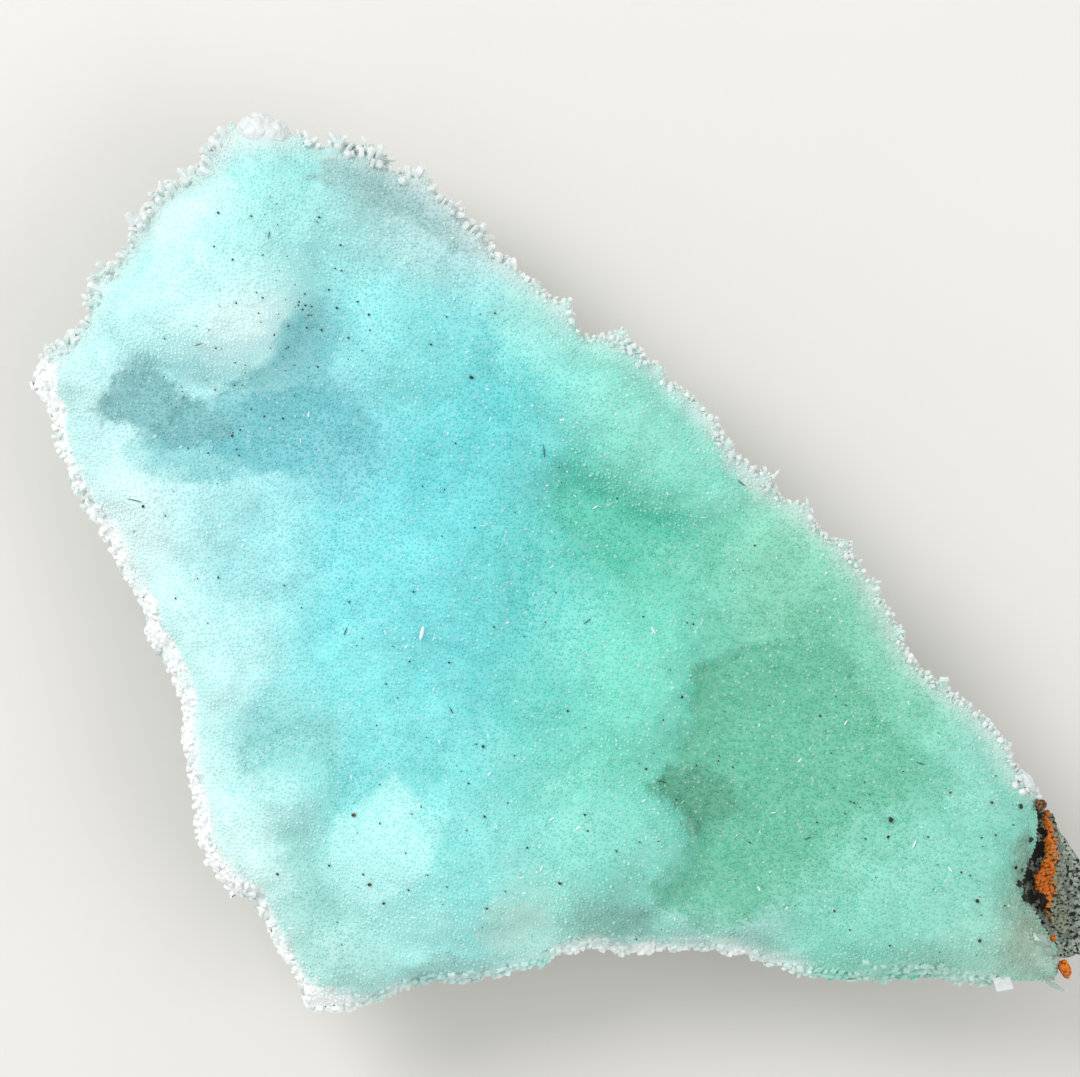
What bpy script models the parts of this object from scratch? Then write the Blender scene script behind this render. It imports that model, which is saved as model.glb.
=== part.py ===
"""Cuprian aragonite on its host rock: a broken plate of blue-green crust, about 13 cm across.

It lies on the flat back of the host rock with its crystal face up. +X runs to the end where the rock shows,
+Y to the crown of the plate and +Z out of the crystal face. The origin is below the middle of the plate, on
the plane that it rests on.

Three solids: host_rock, the aragonite_crust that grew on it, and the iron_oxide_seam between the two at the
rock end. Outlines and billows are drawn in millimetres, seen from above the crystal face.
"""

import math
from random import Random

import bmesh
import bpy
from mathutils import Matrix, Vector, noise
from mathutils.geometry import delaunay_2d_cdt

MM = 0.001

# Driving dimensions, in millimetres.
BED_HEIGHT = 17.0  # the face of the rock that the crust grew on, above the resting plane
BED_SWELL = 0.7  # how far that face rises and dips
BED_WAVELENGTH = 46.0
JOINT_GAP = 0.4  # kept between solids that touch
HOLLOW_THICKNESS = 5.2  # the crust at the bottom of a hollow
RIM_THICKNESS = 4.6  # the crust where its face turns over the rim
GROWN_ROLL = 7.0  # width over which the face rolls down to a rim of crystals
BROKEN_ROLL = 3.0  # the same at a fracture
NODULE_SPACING = 5.6  # the small nodules that the billows are made of
NODULE_HEIGHT = 1.0
CREASE_SHARPNESS = 1.2  # per millimetre; higher makes the creases between billows crisper
BILLOW_ROOT = 1.5  # how far below the hollows a billow's own edge starts

# Mesh spacing, in millimetres.
FACE_STEP = 2.5
RIM_STEP = 2.1
ROCK_STEP = 4.2
BACK_STEP = 7.0

GROWN = "grown"  # a rim that ends in crystals
BROKEN = "broken"  # a fracture wall

# The crust's outline, clockwise from the left of the crown.
CREST = (
    (-45.0, 47.7), (-44.0, 50.9), (-40.7, 52.4), (-38.6, 53.7), (-36.2, 52.7), (-34.4, 51.2),
    (-31.1, 49.5), (-28.3, 50.7), (-27.2, 49.0), (-25.3, 49.7), (-22.2, 47.3), (-18.8, 45.8),
    (-15.8, 43.3), (-13.1, 41.1), (-10.9, 39.2), (-10.0, 36.1),
)
LONG_EDGE = (
    (-7.4, 35.1), (-5.4, 33.3), (-2.0, 31.1), (0.4, 28.1), (2.4, 26.9), (4.4, 27.8),
    (7.6, 24.9), (10.4, 22.1), (12.8, 21.3), (14.0, 18.7), (16.7, 17.1), (18.5, 13.4),
    (22.2, 10.7), (23.6, 8.8), (26.9, 7.1), (30.4, 3.5), (33.7, 0.7), (35.4, -2.5),
    (37.9, -6.7), (39.1, -9.9), (43.3, -14.6), (48.5, -17.9), (51.1, -21.7), (54.1, -25.1),
    (55.2, -27.1),
)
ROCK_MARGIN = ((55.6, -32.1), (55.1, -36.2), (53.3, -38.1), (55.3, -41.9), (58.0, -46.7), (58.2, -50.8))
FOOT = (
    (55.0, -50.3), (51.1, -51.1), (44.2, -50.5), (41.2, -49.9), (36.6, -50.8), (31.6, -50.2),
    (26.8, -49.9), (23.4, -48.2), (19.3, -47.1), (13.6, -46.7), (8.8, -46.6), (6.4, -47.9),
    (3.0, -46.3), (-2.3, -46.9), (-4.7, -49.0), (-8.6, -49.6), (-11.4, -50.7), (-15.5, -50.2),
    (-19.4, -51.1), (-21.8, -52.3), (-27.2, -53.9), (-32.8, -53.7),
)
LEFT_FLANK = (
    (-33.8, -50.0), (-36.2, -46.9), (-36.6, -44.7), (-39.2, -40.5), (-42.1, -39.8), (-44.6, -35.9),
    (-46.1, -33.1), (-45.6, -28.9), (-47.3, -24.3), (-47.2, -20.7), (-47.6, -17.0), (-50.4, -10.5),
    (-52.1, -9.4), (-52.1, -6.1), (-55.1, -0.7), (-57.6, 4.7), (-60.2, 6.3), (-60.8, 9.9),
    (-62.9, 15.1), (-63.0, 17.8), (-65.3, 20.7), (-65.5, 23.9),
)
SHOULDER = (
    (-63.5, 26.0), (-59.2, 27.1), (-58.4, 30.9), (-57.6, 34.6), (-54.1, 35.5), (-52.9, 38.7),
    (-52.4, 42.5), (-50.0, 44.0), (-47.6, 45.4),
)
CRUST_OUTLINE = (
    (CREST, GROWN),
    (LONG_EDGE, GROWN),
    (ROCK_MARGIN, BROKEN),
    (FOOT, BROKEN),
    (LEFT_FLANK, BROKEN),
    (SHOULDER, GROWN),
)

# The crust's wall: (inset from the outline, height above the bed), from its top edge down.
WALL_LEVELS = {
    GROWN: ((1.3, RIM_THICKNESS), (0.4, 3.7), (0.0, 2.6), (0.8, 1.2), (2.0, JOINT_GAP)),
    BROKEN: ((2.0, RIM_THICKNESS), (1.2, 3.4), (0.4, 2.2), (0.0, 1.2), (0.7, JOINT_GAP)),
}
RIM_TEETH = 1.5  # how far single crystals of a grown rim stand out between their neighbours
TOOTHED_LEVELS = (1, 2)
WALL_ROUGHNESS = 0.9
WALL_GRAIN = 3.1

# Billows: centre, half length, half width, turn in degrees, height above a hollow, edge.
CRISP, ROUND, SOFT = 0.5, 0.75, 1.1
BILLOWS = {
    "crown": (-34.4, 44.7, 13.2, 9.6, 0, 3.4, ROUND),
    "upper_left": (-45.2, 33.9, 13.6, 11.6, 0, 7.6, CRISP),
    "left_knob": (-59.9, 22.0, 7.4, 5.8, 0, 3.4, ROUND),
    "left_slope": (-51.2, 6.9, 12.0, 9.4, 0, 3.6, SOFT),
    "middle_knob": (-21.2, 26.1, 9.6, 8.2, 0, 3.2, SOFT),
    "upper_right": (7.6, 18.3, 18.2, 11.2, -40, 5.4, CRISP),
    "heart": (-17.6, -3.3, 15.0, 12.4, 20, 3.4, SOFT),
    "right_heart": (2.5, -13.3, 13.4, 14.4, -12, 4.2, ROUND),
    "foot_knob": (4.0, -33.9, 10.4, 9.2, 0, 6.2, CRISP),
    "lower_left": (-16.4, -35.1, 15.0, 10.6, 0, 5.6, CRISP),
    "small_knob": (-33.8, -27.5, 6.0, 5.3, 0, 4.2, CRISP),
    "lower_right": (44.8, -41.1, 18.0, 11.5, 35, 5.0, ROUND),
    "right_shoulder": (34.2, -6.3, 7.4, 9.4, 30, 2.8, SOFT),
    "right_rim": (49.0, -24.3, 8.6, 6.6, -45, 2.8, ROUND),
    "left_toe": (-27.8, -48.3, 8.6, 5.3, 0, 2.0, SOFT),
    "middle_toe": (15.4, -43.5, 10.2, 4.6, 0, 2.4, ROUND),
    "left_wall_upper": (-47.0, -11.1, 10.2, 13.8, 15, 3.2, SOFT),
    "left_wall_lower": (-41.0, -35.7, 7.4, 8.6, 20, 3.2, ROUND),
}
# Hollows between them that are deeper than the rest: centre, half length, half width, turn, depth.
HOLLOWS = {
    "slate": (-40.0, 18.0, 15.0, 5.5, -18, 1.8),
    "teal": (-30.5, 24.0, 4.5, 8.0, 0, 1.2),
    "upper_green": (3.0, 5.5, 10.0, 5.0, -35, 1.4),
    "green": (23.0, -24.0, 11.0, 15.0, 10, 1.8),
}

# The host rock's upper outline, clockwise from the crown. Its right end reaches out from below the crust.
ROCK_OUTLINE = (
    (-38.0, 47.0), (-30.0, 44.5), (-20.0, 41.0), (-14.0, 36.5), (-8.0, 30.5), (0.0, 24.5),
    (8.0, 20.0), (14.0, 14.0), (21.0, 7.0), (28.0, 1.5), (33.0, -5.0), (40.0, -13.5),
    (47.0, -19.5), (52.8, -25.0), (56.8, -29.1), (60.4, -34.4), (63.6, -38.5), (65.0, -42.6),
    (63.8, -46.4), (59.6, -48.6), (52.0, -47.6), (43.0, -47.2), (33.0, -46.5), (24.0, -44.5),
    (13.0, -42.8), (4.0, -42.5), (-6.0, -45.0), (-16.0, -46.6), (-26.0, -49.6), (-30.5, -47.0),
    (-33.5, -41.0), (-38.5, -35.5), (-42.0, -28.0), (-43.5, -17.5), (-47.5, -7.0), (-51.5, 1.5),
    (-56.0, 8.0), (-59.0, 16.5), (-60.5, 22.0), (-54.5, 25.5), (-53.0, 32.0), (-48.5, 38.0),
    (-44.5, 43.5),
)
# The rock's wall: (inset from its outline, share of the way down from the bed to the resting plane).
ROCK_LEVELS = ((0.0, 0.0), (-0.5, 0.1), (-0.6, 0.3), (0.3, 0.55), (2.0, 0.8), (4.0, 0.96), (4.6, 1.0))
ROCK_ROUGHNESS = 1.6
ROCK_GRAIN = 8.0
# The rock's open top past the crust, which dips between lumps.
SHELF_START = 59.2
SHELF_FADE = 2.0
SHELF_RELIEF = 1.5
SHELF_GRAIN = 3.0
# Flat fractures on the rock: azimuth in degrees, reach at a height, that height, and lean from upright.
FRACTURES = (
    (14, 50.5, 9.0, 16.0), (30, 29.0, 0.0, 38.0), (44, 20.5, 13.0, 8.0), (52, 15.5, 0.0, 31.0),
    (63, 24.0, 10.0, 21.0), (82, 37.0, 0.0, 34.0), (101, 51.0, 13.0, 14.0), (124, 54.5, 8.0, 29.0),
    (146, 58.5, 13.0, 12.0), (163, 53.0, 0.0, 36.0), (180, 57.0, 12.0, 18.0), (199, 46.5, 9.0, 9.0),
    (211, 44.0, 0.0, 33.0), (238, 55.5, 12.0, 22.0), (258, 50.5, 6.0, 13.0), (273, 43.5, 0.0, 30.0),
    (292, 65.5, 12.0, 19.0), (309, 69.5, 0.0, 35.0), (322, 77.4, 12.0, 15.0), (340, 75.6, 12.0, 11.0),
    (352, 63.0, 0.0, 40.0),
)

# The iron oxide between rock and crust at the right end: its outline, and how thick it lies.
SEAM_OUTLINE = (
    (56.2, -29.7), (57.3, -30.1), (58.1, -32.2), (58.3, -36.4), (58.8, -39.6), (59.4, -42.6),
    (59.2, -44.9), (57.7, -44.7), (56.7, -42.9), (55.6, -40.6), (54.5, -38.2), (55.8, -37.0),
    (56.4, -34.6), (56.2, -32.0),
)
SEAM_LEVELS = ((0.2, 0.8), (0.0, 0.45), (0.1, 0.0))  # (inset, share of the thickness), top to bottom
SEAM_STEP = 0.8
SEAM_GRAIN = 1.3
SEAM_THICKNESS = 1.5
# Rim sprays: where the larger glassy crystals fan out of the grown rim.
SPRAYS = (
    (-44.6, 49.5), (-42.2, 51.5), (-38.4, 53.2), (-33.6, 51.0), (-29.6, 50.2), (-27.0, 49.4),
    (-24.0, 48.6), (-18.4, 45.4), (-12.6, 40.6), (-6.0, 34.0), (-2.4, 31.4), (4.4, 27.5),
    (9.6, 22.9), (13.6, 20.4), (17.4, 15.8), (22.2, 10.9), (26.4, 7.2), (31.0, 2.9),
    (34.9, -1.2), (38.4, -7.6), (43.0, -14.0), (50.2, -20.4), (-47.6, 45.2), (-51.2, 43.3),
    (-52.6, 39.8), (-53.9, 36.2), (-57.5, 34.2), (-58.6, 30.0), (-59.9, 27.4),
)
SPRAY_CRYSTALS = (2, 3)
SPRAY_FAN = 30.0  # degrees to either side of straight out
SPRAY_HEIGHT = (1.7, 3.3)  # above the bed
SPRAY_RISE = (2.0, 48.0)  # degrees above the level
CRYSTAL_LENGTH = (1.2, 2.3)
CRYSTAL_WIDTH = (1.2, 1.9)
CRYSTAL_ROOT = 1.5  # how deep a crystal is set into the rim
CRYSTAL_TAPER = 0.45


def bed(x, y):
    """Height of the rock face below the crust."""
    waves = math.sin(x * math.tau / BED_WAVELENGTH) * math.cos(y * math.tau / BED_WAVELENGTH + 1.0)
    return BED_HEIGHT + BED_SWELL * waves


def smooth_step(value):
    value = min(max(value, 0.0), 1.0)
    return value * value * (3.0 - 2.0 * value)


def resample(points, step):
    """Evenly spaced points along a closed outline, each with the index of the outline point before it."""
    corners = [Vector(point) for point in points]
    sides = [(corners[(i + 1) % len(corners)] - corner) for i, corner in enumerate(corners)]
    count = round(sum(side.length for side in sides) / step)
    spacing = sum(side.length for side in sides) / count
    ring, behind = [], 0.0
    for i, side in enumerate(sides):
        while behind < side.length and len(ring) < count:
            ring.append((corners[i] + side * (behind / side.length), i))
            behind += spacing
        behind -= side.length
    return ring


def outward_normals(ring, reach=2):
    """Directions out of a clockwise ring, from the chord across each point's neighbours."""
    count = len(ring)
    normals = []
    for i in range(count):
        along = ring[(i + reach) % count] - ring[i - reach]
        normals.append(Vector((-along.y, along.x)).normalized())
    return normals


def smoothed(values, rounds=2):
    for _ in range(rounds):
        count = len(values)
        values = [(values[i - 1] + 2.0 * values[i] + values[(i + 1) % count]) / 4.0 for i in range(count)]
    return values


def is_inside(point, ring):
    x, y = point
    inside = False
    for i, end in enumerate(ring):
        start = ring[i - 1]
        if (start.y > y) != (end.y > y):
            crossing = start.x + (y - start.y) / (end.y - start.y) * (end.x - start.x)
            if x < crossing:
                inside = not inside
    return inside


def edge_distance(point, ring):
    """Distance from a point to a closed ring, and the index of the ring's side that is nearest."""
    best, nearest = math.inf, 0
    for i, end in enumerate(ring):
        start = ring[i - 1]
        side = end - start
        share = min(max((point - start).dot(side) / side.length_squared, 0.0), 1.0)
        distance = (start + side * share - point).length
        if distance < best:
            best, nearest = distance, i
    return best, nearest


def points_inside(ring, step, seed):
    """A loose triangular grid of points inside a ring, kept clear of its sides."""
    random = Random(seed)
    row_height = step * math.sqrt(3.0) / 2.0
    low = Vector((min(p.x for p in ring), min(p.y for p in ring)))
    high = Vector((max(p.x for p in ring), max(p.y for p in ring)))
    found = []
    for row in range(int((high.y - low.y) / row_height) + 1):
        for column in range(int((high.x - low.x) / step) + 1):
            point = Vector((low.x + (column + 0.5 * (row % 2)) * step, low.y + row * row_height))
            point += Vector((random.uniform(-0.2, 0.2), random.uniform(-0.2, 0.2))) * step
            if is_inside(point, ring) and edge_distance(point, ring)[0] > 0.55 * step:
                found.append(point)
    return found


def add_cap(bm, rim, points, height):
    """Triangles over a ring of vertices and the points inside it."""
    flat = [Vector((vert.co.x, vert.co.y)) for vert in rim] + points
    verts = rim + [bm.verts.new((point.x, point.y, height(point))) for point in points]
    capped = delaunay_2d_cdt(flat, [], [list(range(len(rim)))], 1, 1e-6)
    faces, sources = capped[2], capped[3]
    for face in faces:
        bm.faces.new([verts[sources[corner][0]] for corner in face])


def slab(levels, top, top_step, bottom, bottom_step, seed):
    """A closed body from rings of points, top to bottom, with a cap over each end."""
    bm = bmesh.new()
    rings = [[bm.verts.new(point) for point in level] for level in levels]
    count = len(rings[0])
    for upper, lower in zip(rings, rings[1:]):
        for i in range(count):
            j = (i + 1) % count
            bm.faces.new((upper[i], upper[j], lower[j], lower[i]))
    for rim, height, step in ((rings[0], top, top_step), (rings[-1], bottom, bottom_step)):
        flat = [Vector((vert.co.x, vert.co.y)) for vert in rim]
        add_cap(bm, rim, points_inside(flat, step, seed), height)
    bmesh.ops.triangulate(bm, faces=bm.faces[:])
    bmesh.ops.recalc_face_normals(bm, faces=bm.faces[:])
    return bm


def new_object(name, bm, material):
    """An object from a body in millimetres."""
    mesh = bpy.data.meshes.new(name)
    bm.to_mesh(mesh)
    bm.free()
    mesh.transform(Matrix.Scale(MM, 4))
    mesh.materials.append(material)
    placed = bpy.data.objects.new(name, mesh)
    bpy.context.collection.objects.link(placed)
    return placed


def new_material(name, color, roughness):
    material = bpy.data.materials.new(name)
    material.use_nodes = True
    surface = material.node_tree.nodes["Principled BSDF"]
    surface.inputs["Base Color"].default_value = (*color, 1.0)
    surface.inputs["Roughness"].default_value = roughness
    surface.inputs["Metallic"].default_value = 0.0
    material.diffuse_color = (*color, 1.0)
    return material


def oval_distance(x, y, center_x, center_y, half_length, half_width, turn):
    """Distance from an oval's middle, as a share of its reach in that direction."""
    cos, sin = math.cos(math.radians(turn)), math.sin(math.radians(turn))
    along = (x - center_x) * cos + (y - center_y) * sin
    across = (y - center_y) * cos - (x - center_x) * sin
    return math.hypot(along / half_length, across / half_width)


def billow_thickness(x, y):
    """Thickness of the crust away from its rim: hollows, with the billows standing over them."""
    floor = HOLLOW_THICKNESS
    for center_x, center_y, half_length, half_width, turn, depth in HOLLOWS.values():
        share = oval_distance(x, y, center_x, center_y, half_length, half_width, turn)
        floor -= depth * smooth_step(1.4 - share)
    heap = math.exp(CREASE_SHARPNESS * floor)
    for center_x, center_y, half_length, half_width, turn, height, edge in BILLOWS.values():
        share = oval_distance(x, y, center_x, center_y, half_length, half_width, turn)
        if share < 1.0:
            crest = floor - BILLOW_ROOT + (height + BILLOW_ROOT) * (1.0 - share * share) ** edge
            heap += math.exp(CREASE_SHARPNESS * crest)
    return math.log(heap) / CREASE_SHARPNESS


def nodules(x, y):
    """The small rounded nodules on the billows."""
    nearest = noise.voronoi(Vector((x, y, 0.0)) / NODULE_SPACING)[0][0]
    return NODULE_HEIGHT * (0.6 - 1.6 * nearest * nearest)


def crust_outline():
    """The crust's outline with points evenly spaced, and the kind of rim at each."""
    corners, kinds = [], []
    for stretch, kind in CRUST_OUTLINE:
        corners += stretch
        kinds += [kind] * len(stretch)
    found = resample(corners, RIM_STEP)
    return [point for point, _ in found], [kinds[corner] for _, corner in found]


def make_crust(material):
    outline, kinds = crust_outline()
    normals = outward_normals(outline)
    random = Random(4)
    teeth = [random.uniform(0.0, RIM_TEETH) if kind == GROWN else 0.0 for kind in kinds]
    levels = []
    for level in range(len(WALL_LEVELS[GROWN])):
        insets = smoothed([WALL_LEVELS[kind][level][0] for kind in kinds])
        heights = smoothed([WALL_LEVELS[kind][level][1] for kind in kinds])
        ring = []
        for point, normal, inset, height, tooth in zip(outline, normals, insets, heights, teeth):
            place = Vector((point.x, point.y, 3.0 * level)) / WALL_GRAIN
            reach = WALL_ROUGHNESS * noise.noise(place) - inset
            if level in TOOTHED_LEVELS:
                reach += tooth - RIM_TEETH / 2.0 * (tooth > 0.0)
            moved = point + normal * reach
            ring.append((moved.x, moved.y, bed(moved.x, moved.y) + height))
        levels.append(ring)

    rim = [Vector(point[:2]) for point in levels[0]]

    def face_height(point):
        distance, side = edge_distance(point, rim)
        width = GROWN_ROLL if kinds[side] == GROWN else BROKEN_ROLL
        share = min(distance / width, 1.0)
        lift = math.sqrt(1.0 - (1.0 - share) ** 2)
        full = billow_thickness(point.x, point.y) + nodules(point.x, point.y)
        return bed(point.x, point.y) + RIM_THICKNESS + (full - RIM_THICKNESS) * lift

    def back_height(point):
        return bed(point.x, point.y) + JOINT_GAP

    bm = slab(levels, face_height, FACE_STEP, back_height, BACK_STEP, seed=3)
    crust = new_object("aragonite_crust", bm, material)
    crust.data.shade_smooth()
    crust.data.set_sharp_from_angle(angle=math.radians(38.0))
    return crust


def make_rim_crystals(material):
    """Six-sided crystals that fan out of the grown rim, as the operand that is fused to the crust."""
    random = Random(8)
    outline, _ = crust_outline()
    normals = outward_normals(outline, reach=4)
    bm = bmesh.new()
    for spray in SPRAYS:
        _, side = edge_distance(Vector(spray), outline)
        root, normal = outline[side], normals[side]
        heading = math.atan2(normal.y, normal.x)
        count = random.choice(SPRAY_CRYSTALS)
        for number in range(count):
            share = number / (count - 1) * 2.0 - 1.0
            azimuth = heading + math.radians(SPRAY_FAN * share + random.uniform(-9.0, 9.0))
            rise = math.radians(random.uniform(*SPRAY_RISE))
            length = CRYSTAL_ROOT + random.uniform(*CRYSTAL_LENGTH) * (1.0 - 0.25 * abs(share))
            radius = random.uniform(*CRYSTAL_WIDTH) / 2.0
            height = random.uniform(*SPRAY_HEIGHT)
            level = math.cos(rise)
            aim = Vector((math.cos(azimuth) * level, math.sin(azimuth) * level, math.sin(rise)))
            start = Vector((root.x, root.y, bed(root.x, root.y) + height))
            middle = start + aim * (length / 2.0 - CRYSTAL_ROOT)
            turned = aim.to_track_quat("Z", "Y").to_matrix().to_4x4()
            spin = Matrix.Rotation(random.uniform(0.0, math.pi), 4, "Z")
            bmesh.ops.create_cone(
                bm, cap_ends=True, cap_tris=False, segments=6, radius1=radius,
                radius2=radius * CRYSTAL_TAPER, depth=length,
                matrix=Matrix.Translation(middle) @ turned @ spin,
            )
    crystals = new_object("rim_crystals", bm, material)
    crystals.hide_render = True
    crystals.display_type = "WIRE"
    return crystals


def fuse(body, operand):
    union = body.modifiers.new("fuse", "BOOLEAN")
    union.operation = "UNION"
    union.solver = "EXACT"
    union.use_self = True
    union.object = operand


def cut_flat(bm, azimuth, reach, height, lean):
    """A flat fracture down one side of the rock."""
    outward = Vector((math.cos(math.radians(azimuth)), math.sin(math.radians(azimuth)), 0.0))
    tilt = math.radians(lean)
    cut = bmesh.ops.bisect_plane(
        bm, geom=bm.verts[:] + bm.edges[:] + bm.faces[:], dist=1e-4, clear_outer=True,
        plane_co=outward * reach + Vector((0.0, 0.0, height)),
        plane_no=outward * math.cos(tilt) - Vector((0.0, 0.0, math.sin(tilt))),
    )
    edges = [item for item in cut["geom_cut"] if isinstance(item, bmesh.types.BMEdge)]
    bmesh.ops.holes_fill(bm, edges=edges, sides=0)


def make_rock(material):
    outline = [point for point, _ in resample(ROCK_OUTLINE, ROCK_STEP)]
    normals = outward_normals(outline, reach=1)
    levels = []
    for inset, share in ROCK_LEVELS:
        ring = []
        for point, normal in zip(outline, normals):
            place = Vector((point.x, point.y, 40.0 * share)) / ROCK_GRAIN
            rough = ROCK_ROUGHNESS * noise.noise(place) * smooth_step(4.0 * share)
            moved = point - normal * (inset - rough)
            ring.append((moved.x, moved.y, bed(moved.x, moved.y) * (1.0 - share)))
        levels.append(ring)

    def top_height(point):
        open_rock = smooth_step((point.x - SHELF_START) / SHELF_FADE)
        dip = SHELF_RELIEF * open_rock * (0.5 + noise.noise(Vector((point.x, point.y, 9.0)) / SHELF_GRAIN))
        return bed(point.x, point.y) - max(dip, 0.0)

    bm = slab(levels, top_height, BACK_STEP, lambda point: 0.0, BACK_STEP * 2.0, seed=5)
    for fracture in FRACTURES:
        cut_flat(bm, *fracture)
    bmesh.ops.triangulate(bm, faces=bm.faces[:])
    bmesh.ops.recalc_face_normals(bm, faces=bm.faces[:])
    return new_object("host_rock", bm, material)


def make_seam(material):
    outline = [point for point, _ in resample(SEAM_OUTLINE, SEAM_STEP)]
    normals = outward_normals(outline, reach=1)
    levels = []
    for inset, share in SEAM_LEVELS:
        ring = []
        for point, normal in zip(outline, normals):
            moved = point - normal * inset
            ring.append((moved.x, moved.y, bed(moved.x, moved.y) + JOINT_GAP + SEAM_THICKNESS * share))
        levels.append(ring)

    def top_height(point):
        grains = noise.voronoi(Vector((point.x, point.y, 0.0)) / SEAM_GRAIN)[0][0]
        return bed(point.x, point.y) + JOINT_GAP + SEAM_THICKNESS * (1.35 - grains)

    def bottom_height(point):
        return bed(point.x, point.y) + JOINT_GAP

    bm = slab(levels, top_height, SEAM_STEP, bottom_height, SEAM_STEP * 2.0, seed=7)
    return new_object("iron_oxide_seam", bm, material)


def main():
    for placed in list(bpy.data.objects):
        bpy.data.objects.remove(placed)
    aragonite = new_material("aragonite", (0.42, 0.83, 0.78), 0.35)
    rock = new_material("host_rock", (0.27, 0.29, 0.25), 0.85)
    iron_oxide = new_material("iron_oxide", (0.55, 0.19, 0.03), 0.9)
    crust = make_crust(aragonite)
    fuse(crust, make_rim_crystals(aragonite))
    make_rock(rock)
    make_seam(iron_oxide)


main()
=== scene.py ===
"""Cuprian aragonite on its host rock, dressed for a studio picture.

The packed solids give every size and place. The aragonite_crust solid is replaced by a finer crust with a
druse of tiny crystals, the host_rock and iron_oxide_seam solids by their broken, grainy surfaces. Lengths
below are millimetres in the specimen's own frame unless a comment or a property says otherwise.
"""

import math
from random import Random
from types import SimpleNamespace

import bmesh
import bpy
import numpy as np
from mathutils import Matrix, Vector, noise
from mathutils.bvhtree import BVHTree


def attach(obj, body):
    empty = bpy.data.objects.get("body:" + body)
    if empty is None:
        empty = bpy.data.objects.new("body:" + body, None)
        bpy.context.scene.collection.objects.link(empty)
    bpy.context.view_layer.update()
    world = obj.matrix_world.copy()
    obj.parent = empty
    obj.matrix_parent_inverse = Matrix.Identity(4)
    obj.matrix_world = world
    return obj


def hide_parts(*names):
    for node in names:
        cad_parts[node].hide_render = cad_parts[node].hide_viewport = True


bl_info = {
    "name": "Cuprian Aragonite Specimen",
    "version": (1, 0, 0),
    "blender": (4, 5, 0),
    "location": "3D View > Sidebar > Specimen",
    "description": "Builds the fine surfaces of a cuprian aragonite specimen around its solids",
    "category": "Object",
}

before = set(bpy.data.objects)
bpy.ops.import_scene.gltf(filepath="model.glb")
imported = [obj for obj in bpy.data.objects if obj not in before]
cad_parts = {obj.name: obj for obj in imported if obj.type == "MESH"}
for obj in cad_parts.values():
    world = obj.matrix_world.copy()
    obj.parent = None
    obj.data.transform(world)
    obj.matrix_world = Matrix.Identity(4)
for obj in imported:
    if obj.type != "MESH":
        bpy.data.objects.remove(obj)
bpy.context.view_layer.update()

MM = 0.001

# The picture: what it covers at the height of the crust's rim, and its middle.
PICTURE_WIDTH = 129.6
PICTURE_MIDDLE = (-4.44, 2.88)
RIM_PLANE = 20.0
# The softboxes: name, where they shine from, and their distance and width in metres.
SOFTBOXES = (
    ("key_softbox", (-0.75, 0.65, 1.0), 0.75, 0.45),
    ("fill_softbox", (0.9, -0.35, 0.9), 0.8, 0.6),
)
# How far the floor reaches each way and how far the camera sees, in metres.
FLOOR_REACH = 2.0
CLIP_END = 20.0

# Vertices of a solid are one when they are no farther apart than this, in metres.
SAME_PLACE = 1e-6
# How high the crust's outer walls reach, as in the solids.
WALL_TOP = 22.2
# Rims above the line from the left knob to the rock end grew freely; those below it are fractures.
GROWN_LINE = ((-65.5, 24.0), (55.4, -30.0))
# Right of here the grown rim's crystals are small. Their band narrows, by slope, over the fade before it.
LONG_RIM_START = -7.0
LONG_RIM_FADE = 6.0
NARROW_RIM = 0.14

# Each zone of the crust begins over a range, from none of it to all of it. By the share of the ground around
# a place that the crust covers, which is looked at this many millimetres each way:
COVER_REACH = 3
EDGE_COVER = (0.85, 0.5)
INNER_COVER = (0.8, 1.0)
GLINT_COVER = (0.7, 0.95)
RIM_COVER = (0.96, 0.58)
# by how much a place belongs to that edge:
RIM_EDGE = (0.1, 0.4)
# by how far the surface looks up:
FACE_SLOPE = 0.3
LEVEL_SLOPE = (0.5, 0.8)
WALL_SLOPE = (0.75, 0.45)
RIM_SLOPE = (0.96, 0.76)
BACK_SLOPE = (-0.3, -0.7)
DRUSE_SLOPE = (0.0, 0.25)
# by height, by distance from the line above, and from left to right:
WALL_HEIGHT = (WALL_TOP + 0.8, WALL_TOP - 0.8)
GROWN_RANGE = (0.0, 2.0)
ROCK_END = (50.0, 52.0)
# and by distance from the white dome's middle, against its reach: its tint, and where no rim crystals stand.
DOME_BORDER = (1.15, 0.85)
DOME_CLEARANCE = (1.6, 1.2)
# How much further down the druse reaches on sides that aren't fractured.
DRUSE_SPREAD = 0.35

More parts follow.
